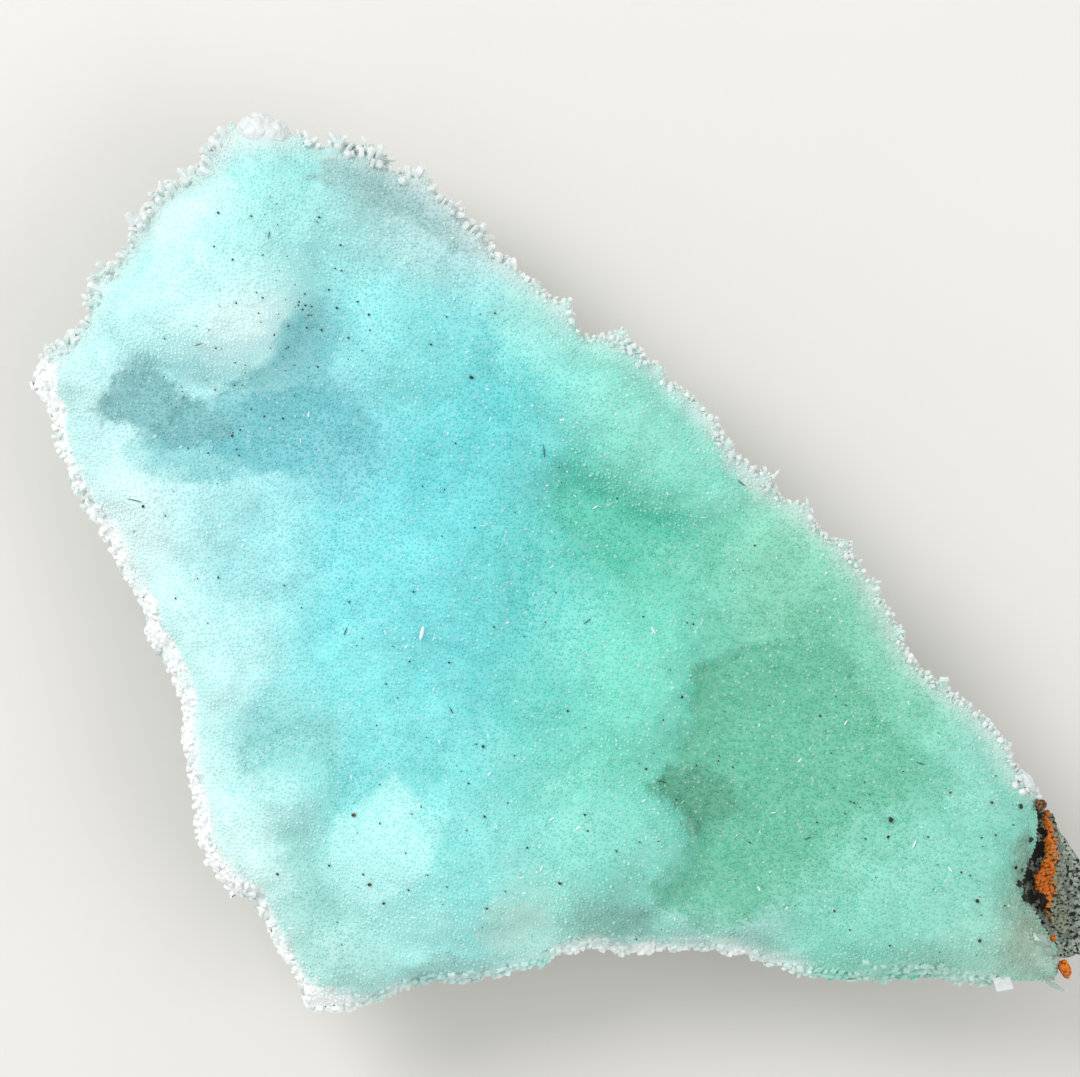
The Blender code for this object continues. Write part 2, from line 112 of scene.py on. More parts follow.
# Tints of the aragonite: place, reach, colour on a billow, colour in a hollow.
# The colour in a hollow is partly the crust's deeper tone and partly painted shade.
TINTS = (
    ("flank by the knob", -58.0, 18.0, 9.0, "C8EFEE", "B4E2E4"),
    ("upper flank", -53.5, 1.5, 7.0, "E6FCFB", "CCF2F2"),
    ("middle flank", -47.0, -9.3, 9.0, "CFF8F6", "A9EDF0"),
    ("inner flank", -40.5, 2.0, 7.5, "A8E6E8", "98DADE"),
    ("lower flank", -42.0, -33.3, 7.5, "DEFCF9", "B4EAE5"),
    ("left toe", -29.6, -48.0, 8.0, "B2E2DB", "8CC8C0"),
    ("upper left billow", -46.5, 33.0, 10.0, "C9FAF6", "9ADADB"),
    ("crown", -33.5, 43.0, 9.0, "A6E7E4", "90DADC"),
    ("crown tip", -37.8, 53.0, 3.2, "F2FAF8", "DDEEEC"),
    ("glassy rim", -17.6, 41.5, 7.5, "BEE3E2", "9CC8C8"),
    ("rim past the glassy stretch", -3.0, 30.0, 4.5, "A8E6DE", "9FDCD4"),
    ("around the slate hollow", -44.0, 19.5, 8.5, "CEFBFC", "A8E6E9"),
    # Painted light: this slope is tinted near white, as if lit, so that it shows little shade.
    ("slope of the left billow", -39.0, 26.5, 6.0, "E6FFFE", "D6FCFA"),
    ("below the steel hollow", -28.5, 13.5, 5.0, "78CBD4", "6CC0CB"),
    ("around the steel hollow", -30.0, 23.0, 6.5, "A0E6EA", "84D0D7"),
    ("middle knob", -20.5, 27.0, 7.5, "8AE2E2", "7CD8DD"),
    ("sky heart", -19.0, -3.0, 13.0, "7CE0E3", "68D4D9"),
    # Painted light: the lit shoulder is tinted paler where light falls on it.
    ("lit shoulder", -25.5, -11.5, 4.5, "A0F6F8", "90F0F3"),
    ("turquoise valley", -9.5, 14.0, 9.0, "70D8DA", "5ACED1"),
    ("turquoise heart", -4.0, -2.0, 7.5, "62CEC6", "54C6BC"),
    ("upper right billow", 8.5, 18.0, 11.0, "98E6D6", "74D2BE"),
    ("green valley", 6.0, 4.5, 8.5, "70CFB5", "55C09E"),
    ("heart below", -5.0, -16.0, 4.5, "6CD2C8", "60C8BF"),
    ("right heart", 6.5, -14.0, 10.0, "84E6D2", "68D0B8"),
    ("right shoulder", 33.0, -5.0, 11.0, "90D9BF", "72C3A3"),
    ("around the green hollow", 26.0, -20.0, 12.0, "74CBAE", "66C0A0"),
    ("right rim", 51.0, -23.0, 5.5, "98DCCC", "80CCB8"),
    ("lower right billow", 44.0, -39.5, 12.0, "8BD9C6", "74C8AF"),
    ("foot knob", 4.0, -34.5, 9.5, "8ADECE", "77D0BC"),
    ("toe of the foot", -4.5, -41.5, 4.5, "C2F8EE", "AAEADF"),
    ("lower left billow", -16.4, -34.0, 11.0, "90E4E0", "7AD3CA"),
    ("above the glassy foot", -19.0, -44.0, 4.5, "C2FBF5", "B4F2EC"),
    ("lobes beside the flank", -36.0, -27.0, 5.0, "A9E4E0", "9CD8D4"),
    ("lower valley", -22.0, -20.5, 8.5, "8CE7E6", "72D3D7"),
    ("flank hollow", -33.0, -21.0, 5.0, "9CE2DF", "7AC8CA"),
    ("foot between the toes", 14.8, -46.5, 7.0, "A2D6CB", "82BFB1"),
    ("right foot", 49.0, -48.5, 7.0, "B4E0D2", "9ACEBD"),
    ("stained end", 52.5, -43.5, 3.5, "94BCA8", "88AE9A"),
)
# Where the face drops behind a frilled border, or grew clearer or whiter, drawn one by one: tint, share of
# it,
# width over which its border fades, depth below the face around it, outline.
PATCHES = (
    ("glassy band at the crown", "98C0BF", 0.75, 0.8, 0.0, (
        (-30.6, 47.7), (-28.0, 51.0), (-24.0, 51.0), (-20.0, 48.0), (-15.0, 44.5), (-11.0, 41.0),
        (-9.0, 36.5), (-15.0, 37.4), (-18.9, 40.6), (-22.8, 42.2), (-26.7, 42.5), (-28.6, 44.5),
        (-31.8, 45.8),
    )),
    ("glassy band of the upper rim", "B8D5D3", 0.75, 0.7, 0.0, (
        (-46.0, 53.0), (-41.3, 53.0), (-41.0, 49.0), (-42.6, 46.2), (-45.5, 44.8), (-48.7, 43.4),
        (-49.3, 40.6), (-52.4, 37.2), (-54.2, 35.0), (-57.3, 33.3), (-58.6, 30.5), (-59.9, 27.4),
        (-63.0, 28.5), (-61.0, 37.0), (-55.0, 42.0), (-51.0, 48.0),
    )),
    ("white shoulder of the crown", "E2FBF9", 0.7, 1.2, 0.0, (
        (-50.5, 40.0), (-48.5, 43.3), (-45.0, 44.6), (-42.3, 46.0), (-40.8, 45.0), (-41.5, 42.5),
        (-44.5, 40.5), (-48.0, 38.0), (-50.5, 37.0),
    )),
    # Painted highlight: the lit lip of the left billow is tinted near white where light falls on it.
    ("lit lip of the left billow", "EAFFFE", 0.6, 1.5, 0.0, (
        (-42.0, 31.0), (-36.0, 31.5), (-34.8, 29.5), (-36.8, 26.2), (-40.5, 25.4), (-44.0, 26.0),
        (-45.0, 29.0),
    )),
    ("steel hollow", "84CFD3", 0.7, 0.6, 0.5, (
        (-47.4, 19.6), (-43.2, 20.2), (-39.8, 22.2), (-36.2, 24.4), (-35.1, 28.3), (-33.5, 29.9),
        (-30.6, 30.9), (-27.0, 29.6), (-27.0, 27.0), (-29.6, 24.4), (-29.6, 20.5), (-24.1, 16.6),
        (-24.7, 13.4), (-30.6, 10.8), (-35.7, 10.8), (-45.5, 9.6), (-51.5, 10.8), (-53.4, 13.8),
        (-49.3, 16.6),
    )),
    ("blue hollow", "6AC1CA", 0.65, 0.7, 0.2, (
        (-42.0, 18.5), (-38.0, 19.8), (-34.0, 21.0), (-29.6, 20.8), (-26.0, 18.4), (-24.2, 16.0),
        (-24.7, 11.6), (-30.0, 10.6), (-36.0, 11.0), (-42.0, 12.2), (-45.0, 13.8),
    )),
    ("slate hollow", "7AB8BB", 0.8, 0.6, 0.4, (
        (-57.6, 18.2), (-55.8, 20.3), (-54.2, 23.4), (-52.6, 24.1), (-50.6, 23.4), (-49.3, 22.1),
        (-47.4, 20.5), (-44.5, 18.9), (-40.9, 16.9), (-40.9, 15.0), (-44.8, 14.0), (-49.3, 13.4),
        (-51.9, 15.3), (-53.6, 16.6), (-56.6, 16.8),
    )),
    ("green valley", "60CCB6", 0.75, 1.2, 0.4, (
        (-1.0, 12.2), (0.9, 11.2), (3.9, 9.6), (6.1, 6.7), (10.0, 6.7), (13.2, 5.7),
        (12.6, 3.1), (8.7, 0.5), (3.5, 0.5), (-0.4, 3.1), (-3.0, 6.3), (-2.3, 9.6),
    )),
    ("green hollow", "69C1A2", 0.75, 0.8, 0.6, (
        (13.9, -12.4), (19.1, -10.5), (24.3, -9.2), (26.9, -6.0), (29.4, -4.0), (32.0, -5.3),
        (32.7, -10.5), (33.3, -14.4), (35.9, -18.3), (39.8, -22.2), (43.1, -26.1), (38.5, -28.6),
        (33.3, -30.6), (30.1, -33.8), (28.8, -36.4), (25.6, -39.7), (22.3, -41.6), (19.1, -43.5),
        (14.5, -43.5), (9.4, -40.6), (8.7, -38.4), (12.6, -36.4), (14.2, -33.2), (12.0, -29.6),
        (8.7, -26.7), (11.6, -24.1), (13.2, -20.9), (13.6, -16.3),
    )),
    ("olive pit", "5AA68A", 0.8, 0.8, 0.2, (
        (8.7, -26.7), (11.6, -25.0), (14.5, -24.5), (19.0, -26.5), (19.5, -29.5), (16.0, -31.8),
        (14.2, -33.2), (12.0, -29.6),
    )),
    ("hollow above the lobes", "94D8D5", 0.65, 0.8, 0.4, (
        (-39.9, -21.0), (-36.0, -20.4), (-32.7, -19.1), (-28.8, -19.1), (-28.2, -21.0), (-28.8, -24.3),
        (-30.8, -22.3), (-34.7, -23.0), (-37.9, -24.3), (-39.9, -25.5), (-40.5, -23.6),
    )),
    ("hollow beside the toe", "A0DAD3", 0.6, 1.2, 0.3, (
        (-32.7, -30.7), (-30.8, -34.0), (-31.1, -37.2), (-28.8, -40.5), (-30.1, -43.7), (-32.7, -40.5),
        (-34.7, -36.6), (-34.7, -32.7),
    )),
    ("pale lower billow", "C6F8F5", 0.7, 1.0, 0.0, (
        (-28.8, -30.7), (-25.6, -28.8), (-21.7, -25.5), (-19.1, -28.8), (-17.2, -32.7), (-17.2, -36.6),
        (-20.4, -39.2), (-25.0, -41.7), (-28.2, -40.5), (-30.1, -37.9), (-30.5, -35.3),
    )),
    ("glassy foot", "98CAC5", 0.75, 0.8, 0.0, (
        (-21.0, -48.5), (-16.0, -46.5), (-10.5, -47.0), (-8.5, -49.0), (-10.0, -51.0), (-17.0, -51.5),
        (-21.0, -51.0),
    )),
    ("pale foot", "C0E6DE", 0.7, 1.6, 0.0, (
        (-11.4, -41.5), (-7.5, -40.0), (-4.0, -41.0), (-2.5, -43.5), (-4.5, -47.0), (-8.5, -47.8),
        (-11.5, -46.0),
    )),
    ("dull foot", "88B8AC", 0.65, 1.6, 0.0, (
        (0.0, -41.0), (5.0, -39.5), (9.0, -41.5), (9.5, -44.5), (5.0, -47.0), (0.5, -46.5),
        (-2.0, -43.5),
    )),
    ("rust stain", "7A5C48", 0.42, 0.8, 0.0, (
        (52.2, -36.0), (52.9, -33.2), (54.0, -32.0), (54.8, -34.0), (55.2, -37.0), (54.0, -39.3),
        (52.4, -39.0),
    )),
    ("stained lumps", "A6A28C", 0.42, 1.8, 0.0, (
        (52.8, -41.0), (56.0, -41.8), (57.5, -45.0), (57.5, -50.0), (52.5, -49.4), (50.6, -46.0),
    )),
    ("white stretch of the long rim", "CDE0DA", 0.8, 0.8, 0.0, (
        (14.5, 19.5), (16.0, 15.5), (19.0, 10.0), (22.5, 7.6), (25.5, 9.5), (22.5, 13.0),
        (17.5, 19.0),
    )),
)
# How far the lobes of a patch's frilled border reach, and how wide the two sizes of lobes are.
PATCH_FRILL = 1.1
FRILL_LOBES = (2.1, 0.9)
# Its border is this many times wider where it fades softly.
SOFT_BORDER = 4.0
SOFT_DRIFT = (0.0, 0.4)
# How much of its darker colour a hollow has, partly the crust's deeper tone and partly painted shade, and
# over which shares of its full depth.
HOLLOW_TONE_AND_SHADE = 0.45
HOLLOW_RANGE = (-0.1, 0.55)
# How much the face's colour varies from place to place, and over what width.
MOTTLE = 0.08
MOTTLE_WIDTH = 3.0
WALL_TINT = "FBFFFE"
# How white the fracture's edge is from the flank on, along the foot: x, share. Partly the broken
# aragonite's own white, partly painted light that is strongest on the left flank, where the light falls.
EDGE_WHITE_AND_LIGHT = (
    (-36.0, 2.3), (-28.0, 1.7), (-24.5, 0.4), (-4.0, 0.35), (-1.0, 1.2), (21.0, 1.3), (26.0, 0.8),
    (30.0, 0.3), (58.0, 0.2),
)
# Widths of the whiter and greyer places on the fractures, and of what varies slowly over the whole crust.
FROST_WIDTH = 1.4
DRIFT_WIDTH = 5.0
GREY_FROST = (0.15, 0.55)
# How white fractured walls and edges are, and how much that drifts.
WHITE_WALL = 0.6
WHITE_EDGE = 0.7
WHITE_DRIFT = 0.8
# The smooth white dome at the crown: its middle, and its reach across and along.
DOME = (-37.8, 51.8, 3.1, 2.2)
DOME_TINT = "CDEBE9"
RIM_TINT = "DCE9E6"
RIM_PALENESS = 0.75
WALL_MOTTLE = "CADBD9"
BACK_TINT = "CFE6E2"

# Relief that is finer than the solids': size of the rounded lobes across, and how far they stand out.
LOBES = ((2.6, 0.34), (1.2, 0.14))
RIM_LOBE_GAIN = 1.9
FIBRE_WIDTH = 0.7
FIBRE_STRETCH = 0.22
FIBRE_RELIEF = 0.3
CHIP_WIDTH = 2.3
WALL_CHIPS = 0.9
# How strong this relief is on the fractured edges, against the walls.
EDGE_RELIEF = 0.6
# Spreads the flakes' tilts, so that neighbours lean differently.
FLAKE_CHANCE = 7.3
# The frayed borders between billows and hollows: size of their lobes across, and how far they reach.
BILLOW_LOBE = 3.2
BILLOW_FRAY = 2.2
# How much of a small crystal's length is rooted in the crust, and how high the druse stands above it.
ROOT = 0.4
DRUSE_HEIGHT = 0.12
# Tips of the small crystals: heights as shares of the length, and widths there as shares of the width.
BLUNT_TIP = ((0.3, 0.8), (0.6, 0.0))
LONG_TIP = ((0.45, 0.8), (0.6, 0.0))
ROUND_TIP = ((0.35, 1.0), (0.5, 0.86), (0.6, 0.0))
SNAPPED_TIP = ((0.4, 0.95), (0.6, 0.7), (0.6, 0.0))
# Kinds of crystal in each group: name, width and length against the group's own, sides, tip, flatness.
KINDS = {
    "druse": (
        ("blunt", 1.0, 1.0, 4, BLUNT_TIP, 1.0),
        ("slim", 0.7, 1.1, 4, BLUNT_TIP, 1.0),
        ("stout", 1.2, 0.9, 4, BLUNT_TIP, 1.0),
    ),
    "glints": (
        ("point", 0.7, 2.0, 4, LONG_TIP, 1.0),
        ("blade", 0.8, 2.8, 4, LONG_TIP, 0.45),
    ),
    "rim": (
        ("column", 1.0, 1.0, 6, ROUND_TIP, 1.0),
        ("stub", 1.3, 0.8, 6, ROUND_TIP, 1.0),
        ("blade", 0.9, 1.15, 6, ROUND_TIP, 0.6),
    ),
    "broken": (
        ("snapped", 1.0, 1.0, 4, SNAPPED_TIP, 1.0),
        ("slab", 1.4, 0.8, 4, SNAPPED_TIP, 0.55),
        ("splint", 0.8, 1.3, 5, SNAPPED_TIP, 0.7),
    ),
}
# Least and greatest size of each group's crystals against their kind, and the start of its random draws.
DRUSE_SCALE = (0.7, 1.2)
GLINT_SCALE = (0.3, 0.9)
RIM_SCALE = (0.6, 1.2)
BROKEN_SCALE = (0.5, 1.25)
DRUSE_SEED = 11
GLINT_SEED = 21
RIM_SEED = 31
BROKEN_SEED = 51
# How far the larger crystals lean at most, in radians, and how wide the swarms of glint points are.
GLINT_TILT = 1.1
RIM_TILT = 0.5
BROKEN_TILT = 0.3
GLINT_SWARM = 1.6
SWARM_RANGE = (0.0, 0.2)
# The druse is built in three pieces, which meet at these shares of the crust's vertices from left to right.
DRUSE_SHARES = (0.0, 0.36, 0.64, 1.0)
# How lumpy the seam is, and how wide its lobes and its grit are.
SEAM_RELIEF = 0.4
SEAM_LOBE = 0.8
SEAM_GRIT = 0.6
SEAM_GRIT_WIDTH = 0.35
# The rock's flakes: how wide each kind is, and its share of their depth.
FLAKES = ((19.0, 0.4), (8.0, 0.33), (3.2, 0.18), (1.4, 0.09))
# Clay lies on the weathered faces in patches this wide, and not on the fresh fracture at the rock end.
CLAY_WIDTH = 11.0
FRESH_END = (56.0, 52.0)
CLAY_RANGE = (-0.25, 0.35)
CLAY_LEAST = 0.45
CLAY_MORE = 0.5
# How much shallower the flakes are on faces that look up.
TOP_CALM = 0.7
# The rock's flakes begin over this distance from the crust and over this height above the flat back.
FREE_OF_CRUST = (0.2, 1.6)
FREE_OF_BACK = (0.2, 3.5)
# Width of the rock's mineral grains.
MINERAL_WIDTH = 0.28
# How far from the crust the black stain reaches, how much that varies and over what width, where the stain
# ends along the seam, and how far down the rock it comes.
STAIN_REACH = (2.0, 0.9)
STAIN_SPREAD = 2.4
STAIN_WIDTH = 1.3
STAIN_END = (-43.0, -41.0)
STAIN_FOOT = (15.0, 16.0)
# The bright rust within the seam, from its top end down: y, x, half its width.
RUST_STRIP = (
    (-30.0, 56.1, 0.5), (-32.5, 56.7, 0.7), (-35.8, 56.8, 0.6), (-38.2, 56.0, 1.2), (-40.2, 55.8, 1.5),
    (-42.4, 56.0, 0.5), (-44.0, 56.2, 0.3),
)
# How far the strip's border strays and fades, and where below it the seam is crumbs of rock alone.
RUST_FRAY = 0.7
RUST_BORDER = 0.5
RUST_END = (-43.8, -44.6)

# Dark oxide grains that stand out one by one: x, y, length.
LARGE_SPECKS = (
    (-12.6, 22.1, 0.60), (37.5, -30.7, 0.85), (37.2, -32.8, 0.55), (47.5, -40.2, 0.70),
    (47.8, -44.8, 0.60), (52.9, -29.2, 0.80), (54.3, -33.2, 0.90), (52.9, -38.6, 1.10),
    (53.6, -40.4, 1.30), (54.6, -38.4, 0.90), (52.4, -36.5, 0.60), (-11.2, -22.0, 0.45),
    (-11.0, -30.2, 0.45), (-35.8, -37.2, 0.45), (-51.6, 6.7, 0.50), (-41.4, 15.1, 0.50),
    (-42.6, 41.4, 0.45), (8.2, -24.6, 0.40), (12.4, -16.0, 0.45), (29.2, -18.4, 0.40),
)
SPECK_SIZE = (0.16, 0.36)
# Where small specks gather: x, y, reach, how many.
SPECK_SWARMS = (
    (-34.0, 32.0, 11.0, 60), (-43.0, 20.0, 9.0, 26), (-20.0, 10.0, 26.0, 44), (10.0, -20.0, 26.0, 44),
    (-20.0, -32.0, 16.0, 30), (38.0, -34.0, 16.0, 30), (-50.0, 0.0, 12.0, 16),
)
# Thin dark needles: x, y, length, heading in degrees.
NEEDLES = (
    (-3.9, 13.4, 1.9, 88), (10.1, -26.3, 1.4, 5), (-52.6, 7.4, 2.1, -14), (-52.0, -4.2, 1.5, 3),
    (-45.0, 26.0, 1.2, 40), (19.6, 9.4, 1.3, -35), (-27.6, -8.2, 1.2, 70), (27.8, -33.0, 1.3, 20),
    (-15.0, -17.8, 1.1, -60), (1.2, -7.0, 1.2, 35), (-36.6, 38.8, 1.1, 75), (41.0, -24.0, 1.2, -20),
)
NEEDLE_WIDTH = 0.12
# Rusty grains: x, y, length.
RUSTY_SPECKS = (
    (-26.6, -30.2, 0.70), (-24.6, -38.2, 0.60), (-23.0, -40.4, 0.50), (-2.0, -38.0, 0.60),
    (-10.8, -41.0, 0.40), (49.4, -28.6, 0.45), (53.3, -36.9, 0.60), (44.6, -27.4, 0.40),
    (-25.4, -37.0, 0.35), (30.8, -41.6, 0.40), (52.8, -26.2, 0.55),
)
# White glinting blades that stand out one by one, their white partly painted glint: x, y, length, heading
# in degrees.
LARGE_GLINTS = (
    (-18.6, -8.3, 1.9, 82), (-3.0, -30.6, 0.9, 20), (-4.3, -36.3, 0.8, 70), (9.0, -8.1, 1.0, 120),
    (32.2, -19.2, 0.8, 60), (40.2, -33.6, 1.1, 75), (2.2, 6.6, 0.8, 30), (-33.2, 14.6, 0.7, 100),
    (23.6, -30.0, 0.7, 10), (-40.0, 2.0, 0.8, 45), (20.0, 12.6, 0.7, 80), (44.2, -36.4, 0.9, 130),
)
# Grains and blades are dropped on the crust from this height, and lie a share of their own height above it.
ABOVE = 100.0
STREWN_LIFT = 0.3
# Widths and heights of grains and blades against their lengths.
SPECK_SHAPE = (0.8, 0.6)
SMALL_SPECK_WIDTH = (0.5, 1.0)
SMALL_SPECK_HEIGHT = 0.7
RUSTY_SHAPE = (0.8, 0.5)
BLADE_SHAPE = (0.24, 0.24)
# How evenly a swarm's specks are spread, and the start of their random draws.
SWARM_GATHERING = 0.7
SPECK_SEED = 41

# Lumps around the rock end, and white domes there and at the crown: x, y, z, length, width, height, heading
# in degrees.
RUSTY_NODULES = ((58.6, -48.8, 19.8, 1.5, 2.4, 1.8, 20), (57.2, -45.2, 19.0, 0.8, 1.1, 0.9, 0))
BROWN_NODULES = ((55.6, -29.1, 20.3, 1.5, 1.5, 1.5, 0),)
GREY_LUMPS = (
    (55.3, -45.2, 21.3, 2.6, 1.8, 1.7, -30), (56.4, -46.5, 20.9, 1.9, 1.3, 1.5, -50),
    (54.1, -46.4, 22.0, 1.1, 0.8, 0.9, -40), (57.1, -47.9, 20.3, 2.0, 1.3, 1.4, 50),
    (55.4, -47.6, 21.1, 0.9, 0.7, 0.8, 20), (56.4, -49.7, 19.8, 2.2, 0.9, 1.2, -20),
    (57.3, -50.8, 19.8, 2.8, 0.6, 0.6, -28), (52.6, -47.0, 22.5, 0.8, 0.6, 0.6, 0),
)
WHITE_CHIPS = ((51.0, -50.4, 20.2, 2.3, 2.0, 2.2, 15),)
WHITE_DOMES = (
    (-38.3, 51.5, 20.2, 5.0, 4.8, 4.8, 0), (-36.7, 51.2, 20.1, 4.4, 4.0, 4.5, 20),
    (53.6, -26.4, 19.6, 3.0, 2.3, 2.6, -50),
)
# How far the corners of grains and lumps move in or out, and how strong a dome's wave is.
GRAIN_CORNERS = (0.72, 1.15)
LUMP_CORNERS = (0.85, 1.12)
DOME_WAVE = 0.12


def linear(code):
    """An sRGB hex colour as linear red, green, blue and alpha."""
    channels = [int(code[i:i + 2], 16) / 255.0 for i in (0, 2, 4)]
    return (*[c / 12.92 if c <= 0.04045 else ((c + 0.055) / 1.055) ** 2.4 for c in channels], 1.0)


def smooth_step(low, high, value):
    """0 before low and 1 past high, with a smooth passage between. High may be the smaller of the two."""
    share = np.clip((value - low) / (high - low), 0.0, 1.0)
    return share * share * (3.0 - 2.0 * share)


def add(tree, kind, inputs=None, **settings):
    """A node with its settings. An input is a value, or the socket of another node to link from."""
    made = tree.nodes.new(kind)
    for name, value in settings.items():
        setattr(made, name, value)
    for name, value in (inputs or {}).items():
        if isinstance(value, bpy.types.NodeSocket):
            tree.links.new(value, made.inputs[name])
        else:
            made.inputs[name].default_value = value
    return made


def length(name, description, default_mm, low_mm=0.0):
    """A length property, given in millimetres and kept in metres."""
    return bpy.props.FloatProperty(
        name=name, description=description, default=default_mm * MM, min=low_mm * MM,
        precision=5, unit="LENGTH",
    )


def color(name, description, code):
    return bpy.props.FloatVectorProperty(
        name=name, description=description, default=linear(code), size=4, min=0.0, max=1.0, subtype="COLOR",
    )


def number(name, description, default, **limits):
    return bpy.props.FloatProperty(name=name, description=description, default=default, **limits)


class CrustSettings(bpy.types.PropertyGroup):
    """The crust's own surface below its crystals."""

    grain: length("Surface grain", "Spacing of the crust's fine mesh", 0.5, 0.3)
    smoothings: bpy.props.IntProperty(
        name="Smoothings", description="How many times the fine mesh is smoothed", default=10, min=0, max=40,
    )
    hollow_reach: length("Hollow reach", "Width over which a place counts as a hollow", 9.0, 2.0)
    hollow_depth: length("Hollow depth", "Depth at which a hollow has its full colour", 2.2, 0.2)


class DruseSettings(bpy.types.PropertyGroup):
    """The tiny crystals that cover the face."""

    spacing: length("Spacing", "Least distance between two crystals", 0.38, 0.3)
    reach: length("Length", "Length of a crystal, its root in the crust included", 0.34, 0.1)
    width: length("Width", "Width of a crystal", 0.46, 0.1)
    tilt: number("Tilt", "Most that a crystal leans from straight out", math.radians(32.0), subtype="ANGLE")
    glint_spacing: length("Glint spacing", "Least distance between two clear points in a swarm", 1.15, 0.5)


class RimSettings(bpy.types.PropertyGroup):
    """The glassy crystals along the grown rims, and the snapped ones on the fractures."""

    spacing: length("Spacing", "Least distance between two rim crystals", 0.78, 0.3)
    reach: length("Length", "Length of a rim crystal, its root in the crust included", 2.1, 0.3)
    width: length("Width", "Width of a rim crystal", 0.8, 0.2)
    long_rim: number("Long rim", "Size of its crystals, against those at the crown", 0.5, min=0.3, max=1.5)
    ior: number("Refraction", "Index of refraction of aragonite", 1.6)
    broken_spacing: length("Broken spacing", "Least distance between two snapped crystals", 0.75, 0.3)
    broken_reach: length("Broken length", "Length of a snapped crystal, its root included", 0.6, 0.2)
    broken_width: length("Broken width", "Width of a snapped crystal", 1.1, 0.2)


class RockSettings(bpy.types.PropertyGroup):
    """The host rock."""

    grain: length("Surface grain", "Spacing of the rock's fine mesh", 0.6, 0.3)
    chips: length("Chips", "How deep the flakes on the fractures are", 5.5)
    pale: color("Pale grains", "Colour of the pale mineral grains", "C2CDC1")
    ground: color("Ground", "Colour of the fine grey-green ground", "8C998B")
    dark: color("Dark grains", "Colour of the black mineral grains", "232622")
    clay: color("Clay", "Colour of the clay on the weathered faces", "7C8273")


class SeamSettings(bpy.types.PropertyGroup):
    """The iron oxide between rock and crust."""

    grain: length("Surface grain", "Spacing of the seam's fine mesh", 0.14, 0.08)
    rust: color("Rust", "Colour of the bright iron oxide", "E0740F")
    ochre: color("Ochre", "Colour of its yellow patches", "C79A34")
    brown: color("Brown", "Colour of its dense brown parts", "5A2A10")
    crumbs: color("Crumbs", "Colour of the crumbled rock beside the rust", "8A937F")
    black: color("Black", "Colour of the manganese oxide against the crust", "0E0C0A")


class StageSettings(bpy.types.PropertyGroup):
    """Floor, light and camera."""

    distance: length("Camera distance", "Height of the camera above the rim of the crust", 620.0, 100.0)
    floor: color("Floor", "Colour of the paper that the specimen lies on", "E9E7E2")
    key: number("Key light", "Power of the main softbox", 2.85, unit="POWER")
    fill: number("Fill light", "Power of the fill", 1.4, unit="POWER")
    room: number("Room light", "Strength of the light from all around", 0.64)


def link(name, shape):
    """An object that holds a mesh, lamp or camera, in the scene."""
    placed = bpy.data.objects.new(name, shape)
    bpy.context.scene.collection.objects.link(placed)
    return placed


def mesh_from(name, bm):
    """A mesh with what was built in bm, which is freed."""
    mesh = bpy.data.meshes.new(name)
    bm.to_mesh(mesh)
    bm.free()
    return mesh


def dress(piece, material):
    """Gives a piece its one material and its place in the frame."""
    piece.data.materials.clear()
    piece.data.materials.append(material)
    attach(piece, "root")


def applied(holder):
    """The mesh that an object's modifiers give, as a plain mesh of its own; the object goes."""
    graph = bpy.context.evaluated_depsgraph_get()
    mesh = bpy.data.meshes.new_from_object(holder.evaluated_get(graph))
    bpy.data.objects.remove(holder)
    return mesh


def fine_surface(name, node, grain, roundings, smoothings=0):
    """A node's solid as a piece with an even fine mesh, its facets rounded off first and its spikes last."""
    bm = bmesh.new()
    bm.from_mesh(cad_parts[node].data)
    bmesh.ops.remove_doubles(bm, verts=bm.verts[:], dist=SAME_PLACE)
    holder = link(name + "_holder", mesh_from(name, bm))
    if roundings:
        rounding = holder.modifiers.new("rounding", "SUBSURF")
        rounding.levels = rounding.render_levels = roundings
    remesh = holder.modifiers.new("grain", "REMESH")
    remesh.mode = "VOXEL"
    remesh.voxel_size = grain
    remesh.use_smooth_shade = True
    if smoothings:
        smooth = holder.modifiers.new("smoothing", "SMOOTH")
        smooth.factor = 0.5
        smooth.iterations = smoothings
    return link(name, applied(holder))


def read_vertices(mesh):
    """Places in millimetres and normals of a mesh's vertices."""
    places = np.empty(len(mesh.vertices) * 3)
    mesh.vertices.foreach_get("co", places)
    normals = np.empty(len(mesh.vertices) * 3)
    mesh.vertex_normals.foreach_get("vector", normals)
    return places.reshape(-1, 3) / MM, normals.reshape(-1, 3)


def write_vertices(mesh, places):
    mesh.vertices.foreach_set("co", (places * MM).ravel())
    mesh.update()


def store(mesh, name, values):
    """A value or colour at each vertex, for the shader or the scattering to read."""
    kind, field = ("FLOAT", "value") if values.ndim == 1 else ("FLOAT_COLOR", "color")
    target = mesh.attributes.new(name, kind, "POINT").data
    target.foreach_set(field, values.astype(np.float32).ravel())


def grown_side(places):
    """Above zero beyond the line between the grown rims and the fractures."""
    (start_x, start_y), (end_x, end_y) = GROWN_LINE
    along = Vector((end_x - start_x, end_y - start_y)).normalized()
    return (places[:, 1] - start_y) * along.x - (places[:, 0] - start_x) * along.y


def box_blur(grid, radius):
    """Means over a square window, along each side of a grid in turn."""
    for axis in (0, 1):
        pad = [(radius + 1, radius) if i == axis else (0, 0) for i in (0, 1)]
        sums = np.cumsum(np.pad(grid, pad), axis=axis)
        count = grid.shape[axis]
        high = np.take(sums, range(2 * radius + 1, 2 * radius + 1 + count), axis=axis)
        grid = (high - np.take(sums, range(count), axis=axis)) / (2 * radius + 1)
    return grid


